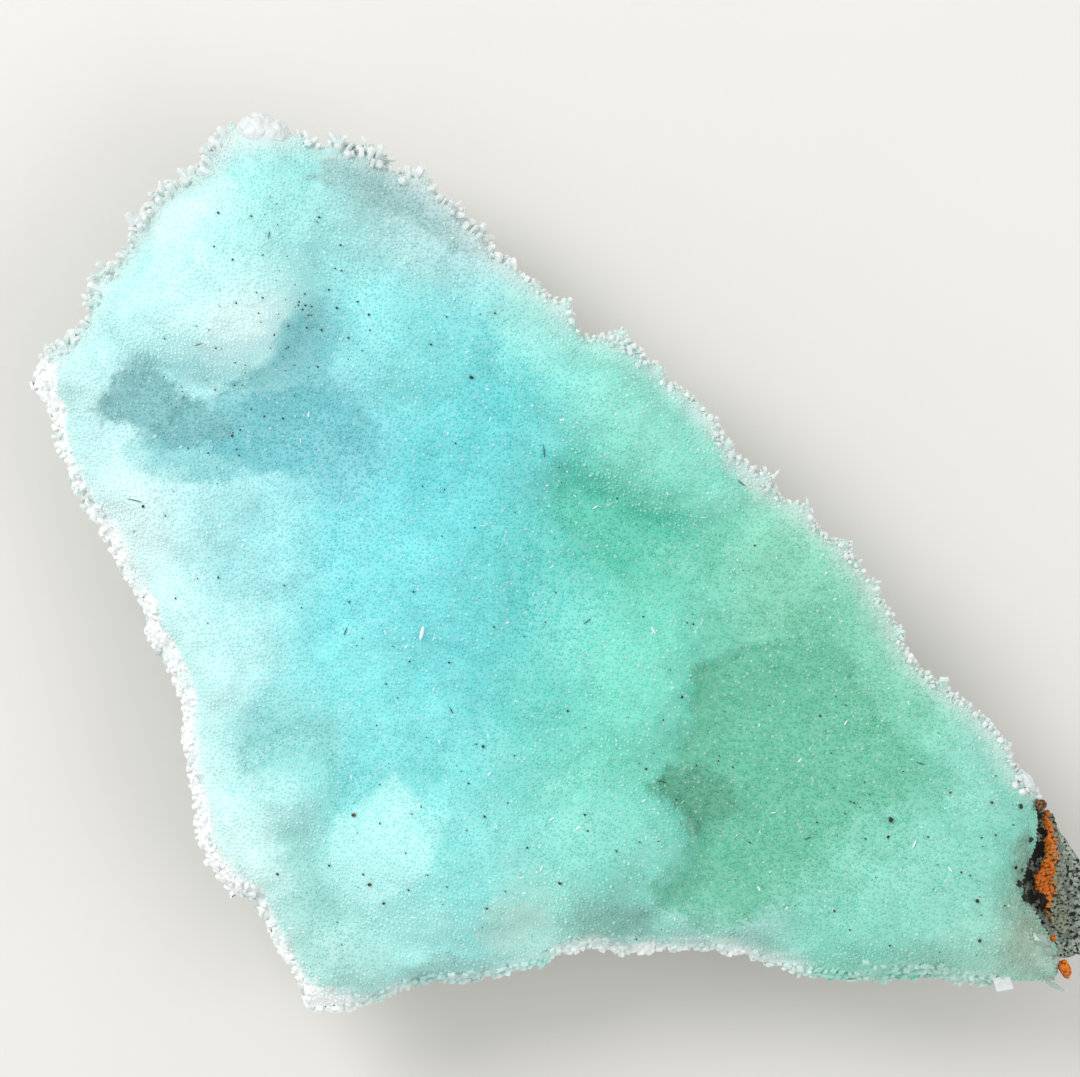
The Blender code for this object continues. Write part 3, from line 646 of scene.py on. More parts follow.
def surroundings(places, face, reach):
    """Mean height of the face around each place, and the share of the ground there that the crust covers."""
    cells = tuple(np.floor(places[:, :2] - places[:, :2].min(axis=0)).astype(int).T)
    size = tuple(np.max(cells, axis=1) + 1)
    height, count = np.zeros(size), np.zeros(size)
    np.add.at(height, tuple(cell[face] for cell in cells), places[face, 2])
    np.add.at(count, tuple(cell[face] for cell in cells), 1.0)
    covered = (count > 0).astype(float)
    for _ in range(2):
        height, count = box_blur(height, round(reach / 2)), box_blur(count, round(reach / 2))
        covered = box_blur(covered, COVER_REACH)
    return (height / np.maximum(count, 1e-6))[cells], covered[cells]


def tinted(places, hollow):
    """The aragonite's colour at each place of its face, weighed from the tints around it."""
    total = np.zeros((len(places), 4))
    weight = np.zeros((len(places), 1))
    for _, x, y, reach, billow, low in TINTS:
        square = (places[:, 0] - x) ** 2 + (places[:, 1] - y) ** 2
        near = np.exp(-square / reach ** 2)[:, None] + 1e-9
        total += near * between(billow, low, hollow)
        weight += near
    return total / weight


def between(first, second, share):
    """Colours from a first hex colour to a second, by a share at each place."""
    return np.outer(1.0 - share, linear(first)) + np.outer(share, linear(second))


def blend(tint, share, colour):
    """Moves the tints towards a colour by a share at each place."""
    tint += share[:, None] * (np.array(colour) - tint)


def patch_share(places, outline, fade, frill):
    """How much each place belongs to a patch: 1 inside its frilled outline, 0 outside it."""
    nearest = np.full(len(places), np.inf)
    inside = np.zeros(len(places), dtype=bool)
    across, down = places[:, 0], places[:, 1]
    for (x, y), (next_x, next_y) in zip(outline, (*outline[1:], outline[0])):
        side = np.array((next_x - x, next_y - y))
        offset = places[:, :2] - (x, y)
        share = np.clip(offset @ side / (side @ side), 0.0, 1.0)
        nearest = np.minimum(nearest, np.linalg.norm(offset - share[:, None] * side, axis=1))
        if y != next_y:
            inside ^= ((y > down) != (next_y > down)) & (across < x + (down - y) * side[0] / side[1])
    return smooth_step(-fade, fade, np.where(inside, nearest, -nearest) + frill)


def lobe(place, across):
    """How far a round lobe of a given width stands out at a place: a half in its middle, less around it."""
    return 0.5 - noise.voronoi(place / across)[0][0]


def cloudy(place, octaves):
    """Cloudy noise around zero, finer with each octave."""
    return noise.fractal(place, 1.0, 2.0, octaves)


def flaked(place, across):
    """Depth of a chipped surface, 0 to 1: each cell is a flat flake, tilted its own way."""
    centre = noise.voronoi(place / across)[1][0]
    tilt = noise.cell_vector(centre * FLAKE_CHANCE) * 2.0 - Vector((1.0, 1.0, 1.0))
    return 0.5 + 0.5 * max(-1.0, min(1.0, (place / across - centre).dot(tilt)))


def fractured(place):
    """Relief of a fracture across the crust: fibres that stand on the rock, and chips."""
    fibre = noise.noise(Vector((place.x, place.y, place.z * FIBRE_STRETCH)) / FIBRE_WIDTH)
    return FIBRE_RELIEF * fibre + WALL_CHIPS * (0.5 - flaked(place, CHIP_WIDTH))


def crust_zones(places, up, covered):
    """How much each place belongs to the crust's zones: sides, walls, rims, back and the white dome."""
    edge = smooth_step(*EDGE_COVER, covered)
    low = smooth_step(*WALL_HEIGHT, places[:, 2])
    grown = smooth_step(*GROWN_RANGE, grown_side(places))
    whole = np.maximum(grown, smooth_step(*ROCK_END, places[:, 0]))
    narrow = NARROW_RIM * smooth_step(LONG_RIM_START - LONG_RIM_FADE, LONG_RIM_START, places[:, 0])
    rim = smooth_step(*RIM_SLOPE, np.abs(up) + narrow) * low * grown * smooth_step(*RIM_EDGE, edge)
    x, y, across, along = DOME
    from_dome = np.hypot((places[:, 0] - x) / across, (places[:, 1] - y) / along)
    return SimpleNamespace(
        grown=grown,
        whole=whole,
        wall=smooth_step(*WALL_SLOPE, np.abs(up)) * low * (1.0 - whole),
        back=smooth_step(*BACK_SLOPE, up),
        rim=rim * (1.0 - smooth_step(*DOME_CLEARANCE, from_dome)),
        broken=(1.0 - whole) * edge,
        dome=smooth_step(*DOME_BORDER, from_dome),
    )


def raise_relief(places, normals, zones):
    """Moves the crust's face out by its lobes, fibres and chips. Gives the noises that its colours need."""
    kinds = ("fray", "frost", "drift", "frill", "glint", "mottle")
    noises = SimpleNamespace(**{kind: np.zeros(len(places)) for kind in kinds})
    for i, (place, normal) in enumerate(zip(places, normals)):
        if zones.back[i] > 0.5:
            continue
        point = Vector(place)
        gain = 1.0 + (RIM_LOBE_GAIN - 1.0) * zones.rim[i]
        lift = sum(height * lobe(point, across) for across, height in LOBES) * gain * (1.0 - zones.wall[i])
        if zones.broken[i] > 0.0:
            lift += fractured(point) * max(zones.wall[i], EDGE_RELIEF * zones.broken[i])
            noises.frost[i] = noise.noise(point / FROST_WIDTH)
        noises.fray[i] = -BILLOW_FRAY * lobe(point, BILLOW_LOBE)
        noises.frill[i] = sum(lobe(point, across) for across in FRILL_LOBES)
        noises.glint[i] = noise.noise(point / GLINT_SWARM)
        noises.mottle[i] = cloudy(point / MOTTLE_WIDTH, 3)
        noises.drift[i] = noise.noise(point / DRIFT_WIDTH)
        places[i] += normal * lift
    return noises


def lay_patches(places, up, tint, noises):
    """Gives each patch of the face its tint and its depth."""
    soft = 1.0 + (SOFT_BORDER - 1.0) * smooth_step(*SOFT_DRIFT, noises.drift)
    for _, code, strength, fade, drop, outline in PATCHES:
        share = patch_share(places, outline, fade * soft, PATCH_FRILL * noises.frill)
        blend(tint, strength * share, linear(code))
        places[:, 2] -= drop * share * smooth_step(*LEVEL_SLOPE, up)


def colour_edges(places, covered, tint, zones, noises):
    """Tints the fractures, grown rims, white dome and back. The fractures' white is partly painted light."""
    white_and_light = np.interp(places[:, 0], *zip(*EDGE_WHITE_AND_LIGHT)) + WHITE_DRIFT * noises.drift
    frosted = WHITE_EDGE * zones.broken * (1.0 + noises.frost)
    rough = np.maximum(WHITE_WALL * zones.wall, frosted) * white_and_light
    grey = smooth_step(*GREY_FROST, noises.frost)
    blend(tint, np.clip(rough, 0.0, 1.0), between(WALL_TINT, WALL_MOTTLE, grey))
    blend(tint, RIM_PALENESS * zones.grown * smooth_step(*RIM_COVER, covered), linear(RIM_TINT))
    blend(tint, zones.dome, linear(DOME_TINT))
    blend(tint, zones.back, linear(BACK_TINT))


def make_crust(settings):
    piece = fine_surface("aragonite", "aragonite_crust", settings.grain, 2, settings.smoothings)
    mesh = piece.data
    places, normals = read_vertices(mesh)
    up = normals[:, 2]
    around, covered = surroundings(places, up > FACE_SLOPE, settings.hollow_reach / MM)
    zones = crust_zones(places, up, covered)
    below = around - places[:, 2]
    noises = raise_relief(places, normals, zones)
    rise, floor = (settings.hollow_depth / MM * share for share in HOLLOW_RANGE)
    # Painted shade in part: the face darkens towards the bottom of each hollow, by its depth below the face
    # around it.
    hollow = smooth_step(rise, floor, below + noises.fray) * smooth_step(*INNER_COVER, covered)
    tint = tinted(places, HOLLOW_TONE_AND_SHADE * hollow) * (1.0 + MOTTLE * noises.mottle)[:, None]
    lay_patches(places, up, tint, noises)
    write_vertices(mesh, places)
    colour_edges(places, covered, tint, zones, noises)
    outward = smooth_step(*DRUSE_SLOPE, up + DRUSE_SPREAD * zones.whole)
    druse = (1.0 - zones.wall) * (1.0 - zones.dome) * outward
    glint = druse * smooth_step(*SWARM_RANGE, noises.glint) * smooth_step(*GLINT_COVER, covered)
    for name, values in (
        ("tint", tint), ("wall", zones.wall), ("druse", druse), ("glint", glint), ("rim", zones.rim),
    ):
        store(mesh, name, values)
    dress(piece, milky_aragonite())
    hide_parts("aragonite_crust")


def principled(name, **values):
    """A material with one Principled surface, and its tree. Values are constants on its own sockets."""
    material = bpy.data.materials.new(name)
    material.use_nodes = True
    tree = material.node_tree
    for socket, value in values.items():
        tree.nodes["Principled BSDF"].inputs[socket.replace("_", " ")].default_value = value
    return material, tree


def feed(tree, socket, output):
    tree.links.new(output, tree.nodes["Principled BSDF"].inputs[socket])


def read(tree, name, output="Fac"):
    """What a piece stores at its vertices."""
    return add(tree, "ShaderNodeAttribute", attribute_name=name).outputs[output]


def own_place(tree):
    return add(tree, "ShaderNodeTexCoord").outputs["Object"]


def cloud(tree, width, detail):
    """Soft noise in the piece's own coordinates, as wide as given in millimetres."""
    inputs = {"Vector": own_place(tree), "Scale": 1.0 / (width * MM), "Detail": detail}
    return add(tree, "ShaderNodeTexNoise", inputs).outputs["Fac"]


def ranged(tree, value, low=0.0, high=1.0, least=0.0, most=1.0):
    """A value that runs from least to most while another runs from low to high."""
    limits = {"From Min": low, "From Max": high, "To Min": least, "To Max": most}
    return add(tree, "ShaderNodeMapRange", {"Value": value, **limits}).outputs["Result"]


def mixed(tree, share, first, second):
    """The colour at a share of the way from a first to a second."""
    inputs = {"Factor": share, "A": first, "B": second}
    return add(tree, "ShaderNodeMix", inputs, data_type="RGBA").outputs["Result"]


def roughen(tree, height, strength, depth):
    """Fine relief on a surface, by bump alone."""
    bump = add(tree, "ShaderNodeBump", {"Height": height, "Strength": strength, "Distance": depth * MM})
    feed(tree, "Normal", bump.outputs["Normal"])


def paler(tree, code, low=0.0, least=0.0, most=1.0):
    """Gives crystals the crust's own tint, and each its own share of a pale colour."""
    share = ranged(tree, read(tree, "grain"), low=low, least=least, most=most)
    feed(tree, "Base Color", mixed(tree, share, read(tree, "tint", "Color"), linear(code)))


def milky_aragonite():
    """Milky aragonite: copper gives the blue-green, cloudy and a little waxy. Fractures are near white."""
    material, tree = principled("milky_aragonite", Roughness=0.5, IOR=1.6)
    feed(tree, "Base Color", read(tree, "tint", "Color"))
    roughen(tree, cloud(tree, width=0.5, detail=3.0), strength=0.5, depth=0.2)
    return material


def sugary_druse():
    """Sugary druse: frosted crystals in the milky body's colour, some of them a little paler."""
    material, tree = principled("sugary_druse", Roughness=0.42, IOR=1.45)
    paler(tree, "F6FFFE", low=0.6, most=0.28)
    return material


def clear_points():
    """Glint points: free-standing glossy crystals whose white is painted glint, on some bright, on most
    faint.
    """
    material, tree = principled("clear_points", Roughness=0.12, IOR=1.6)
    # Painted glint: each point's colour runs by chance from the crust's tint towards white.
    paler(tree, "FBFFFF", low=0.2, least=0.15)
    return material


def silky_glint_blades():
    """Silky glint blades: the few larger crystals on the druse, white along their length, partly painted
    glint.
    """
    return principled("silky_glint_blades", Base_Color=linear("FBFFFF"), Roughness=0.15, IOR=1.6)[0]


def glassy_aragonite(settings):
    """Glassy aragonite: large, glossy crystals at the rims, pale and only slightly clear."""
    values = {"Roughness": 0.16, "IOR": settings.ior, "Transmission_Weight": 0.15}
    material, tree = principled("glassy_aragonite", **values)
    paler(tree, "FAFFFE", least=0.55)
    return material


def broken_aragonite():
    """Broken aragonite: fibres snapped across, silky, in the fracture's own tint or a little whiter."""
    material, tree = principled("broken_aragonite", Roughness=0.35, IOR=1.5)
    paler(tree, "FFFFFF", most=0.25)
    return material


def manganese_oxide():
    """Manganese oxide: sooty black-brown, dull with a few bright facets."""
    material, tree = principled("sooty_manganese_oxide", Roughness=0.55)
    share = cloud(tree, width=0.3, detail=2.0)
    feed(tree, "Base Color", mixed(tree, share, linear("0A0908"), linear("3A3630")))
    return material


def limonite():
    """Limonite: dull brown grains with ochre edges."""
    material, tree = principled("limonite", Roughness=0.7)
    share = ranged(tree, cloud(tree, width=0.3, detail=2.0), low=0.48, high=0.72)
    feed(tree, "Base Color", mixed(tree, share, linear("43291A"), linear("A0763C")))
    return material


def grey_calcite():
    """Grey calcite: cloudy, half clear lumps with a wet shine."""
    material, tree = principled("grey_calcite", Roughness=0.18, IOR=1.6, Transmission_Weight=0.45)
    share = cloud(tree, width=1.0, detail=3.0)
    feed(tree, "Base Color", mixed(tree, share, linear("9CBFB2"), linear("EAF8F2")))
    return material


def white_calcite():
    """White calcite: opaque and cool, dull where it broke."""
    material, tree = principled("white_calcite", Roughness=0.5, IOR=1.6)
    share = cloud(tree, width=0.8, detail=3.0)
    feed(tree, "Base Color", mixed(tree, share, linear("C9D0CF"), linear("F1F7F6")))
    return material


def iron_oxide(settings):
    """Iron oxide: earthy rust with ochre and dense brown patches.

    It turns to grey-green crumbs of rock at its outer side, and to black where it meets the crust.
    """
    material, tree = principled("earthy_iron_oxide", Roughness=0.8)
    grain = cloud(tree, width=0.35, detail=3.0)
    ochre_share = ranged(tree, cloud(tree, width=1.5, detail=3.0), low=0.54, high=0.66)
    brown_share = ranged(tree, grain, low=0.47, high=0.62)
    ochre = mixed(tree, ochre_share, settings.rust, settings.ochre)
    brown = mixed(tree, brown_share, ochre, settings.brown)
    crumbs = mixed(tree, brown_share, settings.crumbs, settings.black)
    body = mixed(tree, read(tree, "crumbled"), brown, crumbs)
    edge = add(tree, "ShaderNodeMath", {0: read(tree, "dark"), 1: grain}, operation="MULTIPLY").outputs[0]
    feed(tree, "Base Color", mixed(tree, ranged(tree, edge, low=0.26, high=0.36), body, settings.black))
    roughen(tree, grain, strength=0.8, depth=0.25)
    return material


def altered_basalt(settings):
    """Altered basalt: pale and black mineral grains, set close together in a fine grey-green ground.

    Manganese oxide has blackened it beside the crust. Clay dulls its weathered faces.
    """
    material, tree = principled("altered_basalt", Roughness=0.75)
    scale = 1.0 / (MINERAL_WIDTH * MM)
    cells = add(tree, "ShaderNodeTexVoronoi", {"Vector": own_place(tree), "Scale": scale})
    chance = add(tree, "ShaderNodeSeparateColor", {"Color": cells.outputs["Color"]})
    draws = {0: chance.outputs["Green"], 1: read(tree, "dark")}
    stained = add(tree, "ShaderNodeMath", draws, operation="ADD")
    pale_share = ranged(tree, chance.outputs["Red"], low=0.45, high=0.6, most=0.85)
    dark_share = ranged(tree, stained.outputs[0], low=0.74, high=0.78)
    pale = mixed(tree, pale_share, settings.ground, settings.pale)
    dark = mixed(tree, dark_share, pale, settings.dark)
    dulled = mixed(tree, read(tree, "clay"), dark, settings.clay)
    value = ranged(tree, cloud(tree, width=9.0, detail=3.0), low=0.35, high=0.65, least=0.76, most=1.14)
    shade = add(tree, "ShaderNodeHueSaturation", {"Color": dulled, "Value": value})
    feed(tree, "Base Color", shade.outputs["Color"])
    roughen(tree, cloud(tree, width=0.6, detail=4.0), strength=0.7, depth=0.35)
    return material


def studio_paper(settings):
    """Matt background paper, rolled out flat: a pale ground with a faint mottle."""
    material, tree = principled("studio_paper", Roughness=0.9)
    value = ranged(tree, cloud(tree, width=30.0, detail=2.0), least=0.98, most=1.02)
    shade = add(tree, "ShaderNodeHueSaturation", {"Color": settings.floor, "Value": value})
    feed(tree, "Base Color", shade.outputs["Color"])
    return material


def crystal_shape(name, width, reach, sides, rings, flatness):
    """One small crystal with an open root below its origin.

    Its rings are heights and widths as shares of its own; the last one is its tip.
    """
    bm = bmesh.new()
    root = Matrix.Translation((0.0, 0.0, -ROOT * reach))
    bmesh.ops.create_circle(bm, segments=sides, radius=width / 2, matrix=root)
    edges = bm.edges[:]
    height, size = -ROOT, 1.0
    for share, narrow in rings:
        grown = bmesh.ops.extrude_edge_only(bm, edges=edges)["geom"]
        verts = [item for item in grown if isinstance(item, bmesh.types.BMVert)]
        raised = [item for item in grown if isinstance(item, bmesh.types.BMEdge)]
        edges = [edge for edge in raised if set(edge.verts) <= set(verts)]
        bmesh.ops.translate(bm, verts=verts, vec=(0.0, 0.0, (share - height) * reach))
        bmesh.ops.scale(bm, verts=verts, vec=(narrow / size, narrow / size, 1.0))
        height, size = share, narrow
    bmesh.ops.remove_doubles(bm, verts=verts, dist=width * 0.1)
    bmesh.ops.scale(bm, verts=bm.verts[:], vec=(flatness, 1.0, 1.0))
    bmesh.ops.recalc_face_normals(bm, faces=bm.faces[:])
    return bpy.data.objects.new(name, mesh_from(name, bm))


def crystal_shapes(group, width, reach):
    """The kinds of crystal in a group, each in its own size."""
    return [
        crystal_shape(name, width * wide, reach * long, sides, rings, flatness)
        for name, wide, long, sides, rings, flatness in KINDS[group]
    ]


def both(tree, first, second):
    return add(tree, "FunctionNodeBooleanMath", {0: first, 1: second}, operation="AND").outputs[0]


def compared(tree, value, sign, limit):
    return add(tree, "FunctionNodeCompare", {"A": value, "B": limit}, operation=sign).outputs[0]


def chosen(tree, where, band):
    """The faces where an attribute is over a half, within a band from left to right."""
    named = add(tree, "GeometryNodeInputNamedAttribute", {"Name": where}, data_type="FLOAT")
    inside = compared(tree, named.outputs["Attribute"], "GREATER_THAN", 0.5)
    position = add(tree, "GeometryNodeInputPosition").outputs[0]
    across = add(tree, "ShaderNodeSeparateXYZ", {"Vector": position}).outputs["X"]
    right = compared(tree, across, "GREATER_THAN", band[0])
    left = compared(tree, across, "LESS_EQUAL", band[1])
    return both(tree, both(tree, right, left), inside)


def drawn(tree, low, high, seed):
    """A number between two, drawn for each crystal."""
    limits = {2: low, 3: high, "Seed": seed}
    return add(tree, "FunctionNodeRandomValue", limits, data_type="FLOAT").outputs[1]


def scatter(name, host, shapes, spacing, where, tilt, scale, seed, band=(-1.0, 1.0)):
    """Crystals on a host's faces where its attribute is over a half, realised as one mesh."""
    tree = bpy.data.node_groups.new(name, "GeometryNodeTree")
    tree.interface.new_socket("Geometry", in_out="OUTPUT", socket_type="NodeSocketGeometry")
    kit = bpy.data.collections.new(name + "_shapes")
    for shape in shapes:
        kit.objects.link(shape)
    source = add(tree, "GeometryNodeObjectInfo", {"Object": host})
    points = add(
        tree, "GeometryNodeDistributePointsOnFaces",
        {"Mesh": source.outputs["Geometry"], "Selection": chosen(tree, where, band), "Distance Min": spacing,
         "Density Max": 2.0 / spacing ** 2, "Seed": seed},
        distribute_method="POISSON",
    )
    lean = add(
        tree, "FunctionNodeRandomValue",
        {0: (-tilt, -tilt, 0.0), 1: (tilt, tilt, math.tau), "Seed": seed + 1}, data_type="FLOAT_VECTOR",
    )
    turned = add(
        tree, "FunctionNodeRotateRotation",
        {"Rotation": points.outputs["Rotation"], "Rotate By": lean.outputs[0]}, rotation_space="LOCAL",
    )
    kinds = add(tree, "GeometryNodeCollectionInfo", {"Collection": kit, "Separate Children": True})
    placed = add(
        tree, "GeometryNodeInstanceOnPoints",
        {"Points": points.outputs["Points"], "Instance": kinds.outputs[0], "Pick Instance": True,
         "Rotation": turned.outputs[0], "Scale": drawn(tree, *scale, seed + 2)},
    )
    marked = add(
        tree, "GeometryNodeStoreNamedAttribute",
        {"Geometry": placed.outputs[0], "Name": "grain", "Value": drawn(tree, 0.0, 1.0, seed + 3)},
        data_type="FLOAT", domain="INSTANCE",
    )
    real = add(tree, "GeometryNodeRealizeInstances", {"Geometry": marked.outputs[0]})
    add(tree, "NodeGroupOutput", {"Geometry": real.outputs[0]})
    holder = link(name + "_holder", bpy.data.meshes.new(name))
    holder.modifiers.new("scatter", "NODES").node_group = tree
    piece = link(name, applied(holder))
    bpy.data.node_groups.remove(tree)
    bpy.data.collections.remove(kit)
    for shape in shapes:
        bpy.data.objects.remove(shape)
    return piece


def make_druse(settings):
    host = bpy.data.objects["aragonite"]
    places, _ = read_vertices(host.data)
    edges = np.quantile(places[:, 0], DRUSE_SHARES) * MM
    edges[0], edges[-1] = -1.0, 1.0
    material = sugary_druse()
    for number, letter in enumerate("abc"):
        piece = scatter(
            "druse_" + letter, host, crystal_shapes("druse", settings.width, settings.reach),
            settings.spacing, "druse", settings.tilt, DRUSE_SCALE,
            seed=DRUSE_SEED + number, band=(edges[number], edges[number + 1]),
        )
        dress(piece, material)
    points = scatter(
        "clear_points", host, crystal_shapes("glints", settings.width, settings.reach),
        settings.glint_spacing, "glint", GLINT_TILT, GLINT_SCALE, seed=GLINT_SEED,
    )
    dress(points, clear_points())


def make_rim(settings):
    host = bpy.data.objects["aragonite"]
    material = glassy_aragonite(settings)
    turn = LONG_RIM_START * MM
    for name, size, band in (
        ("rim_crystals", 1.0, (-1.0, turn)),
        ("long_rim_crystals", settings.long_rim, (turn, 1.0)),
    ):
        share = 0.5 + 0.5 * size
        shapes = crystal_shapes("rim", settings.width * share, settings.reach * size)
        spacing = settings.spacing * share
        piece = scatter(name, host, shapes, spacing, "rim", RIM_TILT, RIM_SCALE, RIM_SEED, band)
        dress(piece, material)


def make_fracture(settings):
    host = bpy.data.objects["aragonite"]
    piece = scatter(
        "broken_crystals", host, crystal_shapes("broken", settings.broken_width, settings.broken_reach),
        settings.broken_spacing, "wall", BROKEN_TILT, BROKEN_SCALE, seed=BROKEN_SEED,
    )
    dress(piece, broken_aragonite())


def uneven(bm, made, matrix, rng, reach):
    """Moves each corner of a body in or out by chance, and sets the body in its place."""
    for vert in made:
        vert.co *= rng.uniform(*reach)
    bmesh.ops.transform(bm, matrix=matrix, verts=made)


def ball(bm, subdivisions, radius=0.5):
    return bmesh.ops.create_icosphere(bm, subdivisions=subdivisions, radius=radius)["verts"]


def angular(bm, matrix, rng):
    """A small angular grain."""
    uneven(bm, ball(bm, 1), matrix, rng, GRAIN_CORNERS)


def nodule(bm, matrix, rng):
    """A rounded nodule."""
    uneven(bm, ball(bm, 2), matrix, rng, LUMP_CORNERS)


def faceted(bm, matrix, rng):
    """A crystal lump with few, large faces."""
    uneven(bm, ball(bm, 1, 0.55), matrix, rng, LUMP_CORNERS)


def chip(bm, matrix, rng):
    """A chip with six uneven sides."""
    uneven(bm, bmesh.ops.create_cube(bm, size=0.9)["verts"], matrix, rng, LUMP_CORNERS)


def dome(bm, matrix, _):
    """A smooth dome with a slight wave, the same for each."""
    made = ball(bm, 5)
    for vert in made:
        vert.co *= 1.0 + DOME_WAVE * cloudy(vert.co * 5.0, 4)
    bmesh.ops.transform(bm, matrix=matrix, verts=made)


def splinter(bm, matrix, rng):
    """A blade or needle that lies on its side and narrows to both ends."""
    made = bmesh.ops.create_uvsphere(bm, u_segments=5, v_segments=4, radius=0.5)["verts"]
    bmesh.ops.rotate(bm, verts=made, matrix=Matrix.Rotation(math.pi / 2, 3, "Y"))
    bmesh.ops.transform(bm, matrix=matrix @ Matrix.Rotation(rng.uniform(-0.2, 0.2), 4, "Y"), verts=made)


def strewn(name, host, bodies, shape):
    """Small bodies on a host as one piece. Each has its x, y, length, width, height and heading."""
    seen = BVHTree.FromObject(host, bpy.context.evaluated_depsgraph_get())
    rng = Random(name)
    bm = bmesh.new()
    for x, y, long, wide, high, heading in bodies:
        place, normal, _, _ = seen.ray_cast(Vector((x, y, ABOVE)) * MM, Vector((0.0, 0.0, -1.0)))
        if place is None:
            continue
        along = Vector((math.cos(math.radians(heading)), math.sin(math.radians(heading)), 0.0))
        along = (along - normal * along.dot(normal)).normalized()
        turn = Matrix((along, normal.cross(along), normal)).transposed()
        lift = normal * (high * STREWN_LIFT + DRUSE_HEIGHT) * MM
        shape(bm, Matrix.LocRotScale(place + lift, turn, Vector((long, wide, high)) * MM), rng)
    return link(name, mesh_from(name, bm))


def lying(x, y, size, shape, heading):
    """A grain or blade as strewn takes it, from its length and its shape."""
    wide, high = shape
    return x, y, size, size * wide, size * high, heading


def make_specks():
    """Oxide grains and needles on the druse, and the glinting blades that stand out one by one."""
    host = bpy.data.objects["aragonite"]
    rng = Random(SPECK_SEED)
    specks = [lying(*speck, SPECK_SHAPE, rng.uniform(0.0, 360.0)) for speck in LARGE_SPECKS]
    for x, y, reach, count in SPECK_SWARMS:
        for _ in range(count):
            away = reach * rng.random() ** SWARM_GATHERING
            turn = rng.uniform(0.0, math.tau)
            size = rng.uniform(*SPECK_SIZE)
            place = x + away * math.cos(turn), y + away * math.sin(turn)
            shape = rng.uniform(*SMALL_SPECK_WIDTH), SMALL_SPECK_HEIGHT
            specks.append(lying(*place, size, shape, rng.uniform(0.0, 360.0)))
    rusty = [lying(*speck, RUSTY_SHAPE, rng.uniform(0.0, 360.0)) for speck in RUSTY_SPECKS]
    needles = [(x, y, long, NEEDLE_WIDTH, NEEDLE_WIDTH, heading) for x, y, long, heading in NEEDLES]
    blades = [lying(x, y, long, BLADE_SHAPE, heading) for x, y, long, heading in LARGE_GLINTS]
    soot = manganese_oxide()
    for name, bodies, shape, material, slot in (
        ("dark_specks", specks, angular, soot, "iron_oxide"),
        ("dark_needles", needles, splinter, soot, "iron_oxide"),
        ("rusty_grains", rusty, angular, limonite(), "iron_oxide"),
        ("clear_blades", blades, splinter, silky_glint_blades(), "aragonite"),
    ):
        dress(strewn(name, host, bodies, shape), material)


def distances(places, host):
    """How far each place is from a host's surface, in millimetres."""
    near = BVHTree.FromObject(host, bpy.context.evaluated_depsgraph_get())
    return np.array([near.find_nearest(Vector(place) * MM)[3] for place in places]) / MM


def blackened(places, crust_near):
    """How black each place is with manganese oxide, which spread unevenly from the crust."""
    spread = np.array([noise.noise(Vector(place) / STAIN_WIDTH) for place in places])
    near = smooth_step(*STAIN_REACH, crust_near + STAIN_SPREAD * spread)
    return near * smooth_step(*STAIN_END, places[:, 1])


def make_rock(settings):
    piece = fine_surface("host_rock_chipped", "host_rock", settings.grain, 0)
    mesh = piece.data
    places, normals = read_vertices(mesh)
    crust_near = distances(places, bpy.data.objects["aragonite"])
    free = smooth_step(*FREE_OF_CRUST, crust_near) * smooth_step(*FREE_OF_BACK, places[:, 2])
    free *= 1.0 - TOP_CALM * np.maximum(normals[:, 2], 0.0)
    depth = settings.chips / MM
    clay = np.zeros(len(places))
    for i, (place, normal) in enumerate(zip(places, normals)):
        point = Vector(place)
        clay[i] = cloudy(point / CLAY_WIDTH, 4)
        if free[i] == 0.0:
            continue
        drop = sum(share * flaked(point, across) for across, share in FLAKES)
        places[i] -= normal * drop * depth * free[i]
    write_vertices(mesh, places)
    store(mesh, "dark", blackened(places, crust_near) * smooth_step(*STAIN_FOOT, places[:, 2]))
    weathered = smooth_step(*FRESH_END, places[:, 0])
    store(mesh, "clay", weathered * (CLAY_LEAST + CLAY_MORE * smooth_step(*CLAY_RANGE, clay)))
    dress(piece, altered_basalt(settings))
    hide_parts("host_rock")


def make_seam(settings):
    piece = fine_surface("rusty_seam", "iron_oxide_seam", settings.grain, 1)
    mesh = piece.data
    places, normals = read_vertices(mesh)
    crust_near = distances(places, bpy.data.objects["aragonite"])
    for i, (place, normal) in enumerate(zip(places, normals)):
        point = Vector(place)
        lump = lobe(point, SEAM_LOBE) + SEAM_GRIT * noise.noise(point / SEAM_GRIT_WIDTH)
        places[i] += normal * lump * SEAM_RELIEF
    write_vertices(mesh, places)
    down, across, half = (np.array(values) for values in zip(*RUST_STRIP[::-1]))
    off = np.abs(places[:, 0] - np.interp(places[:, 1], down, across)) - np.interp(places[:, 1], down, half)
    off += np.array([RUST_FRAY * noise.noise(Vector(place) / RUST_FRAY) for place in places])
    beyond = smooth_step(*RUST_END, places[:, 1])
    store(mesh, "crumbled", np.maximum(smooth_step(0.0, RUST_BORDER, off), beyond))
    store(mesh, "dark", blackened(places, crust_near))
    dress(piece, iron_oxide(settings))
    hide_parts("iron_oxide_seam")


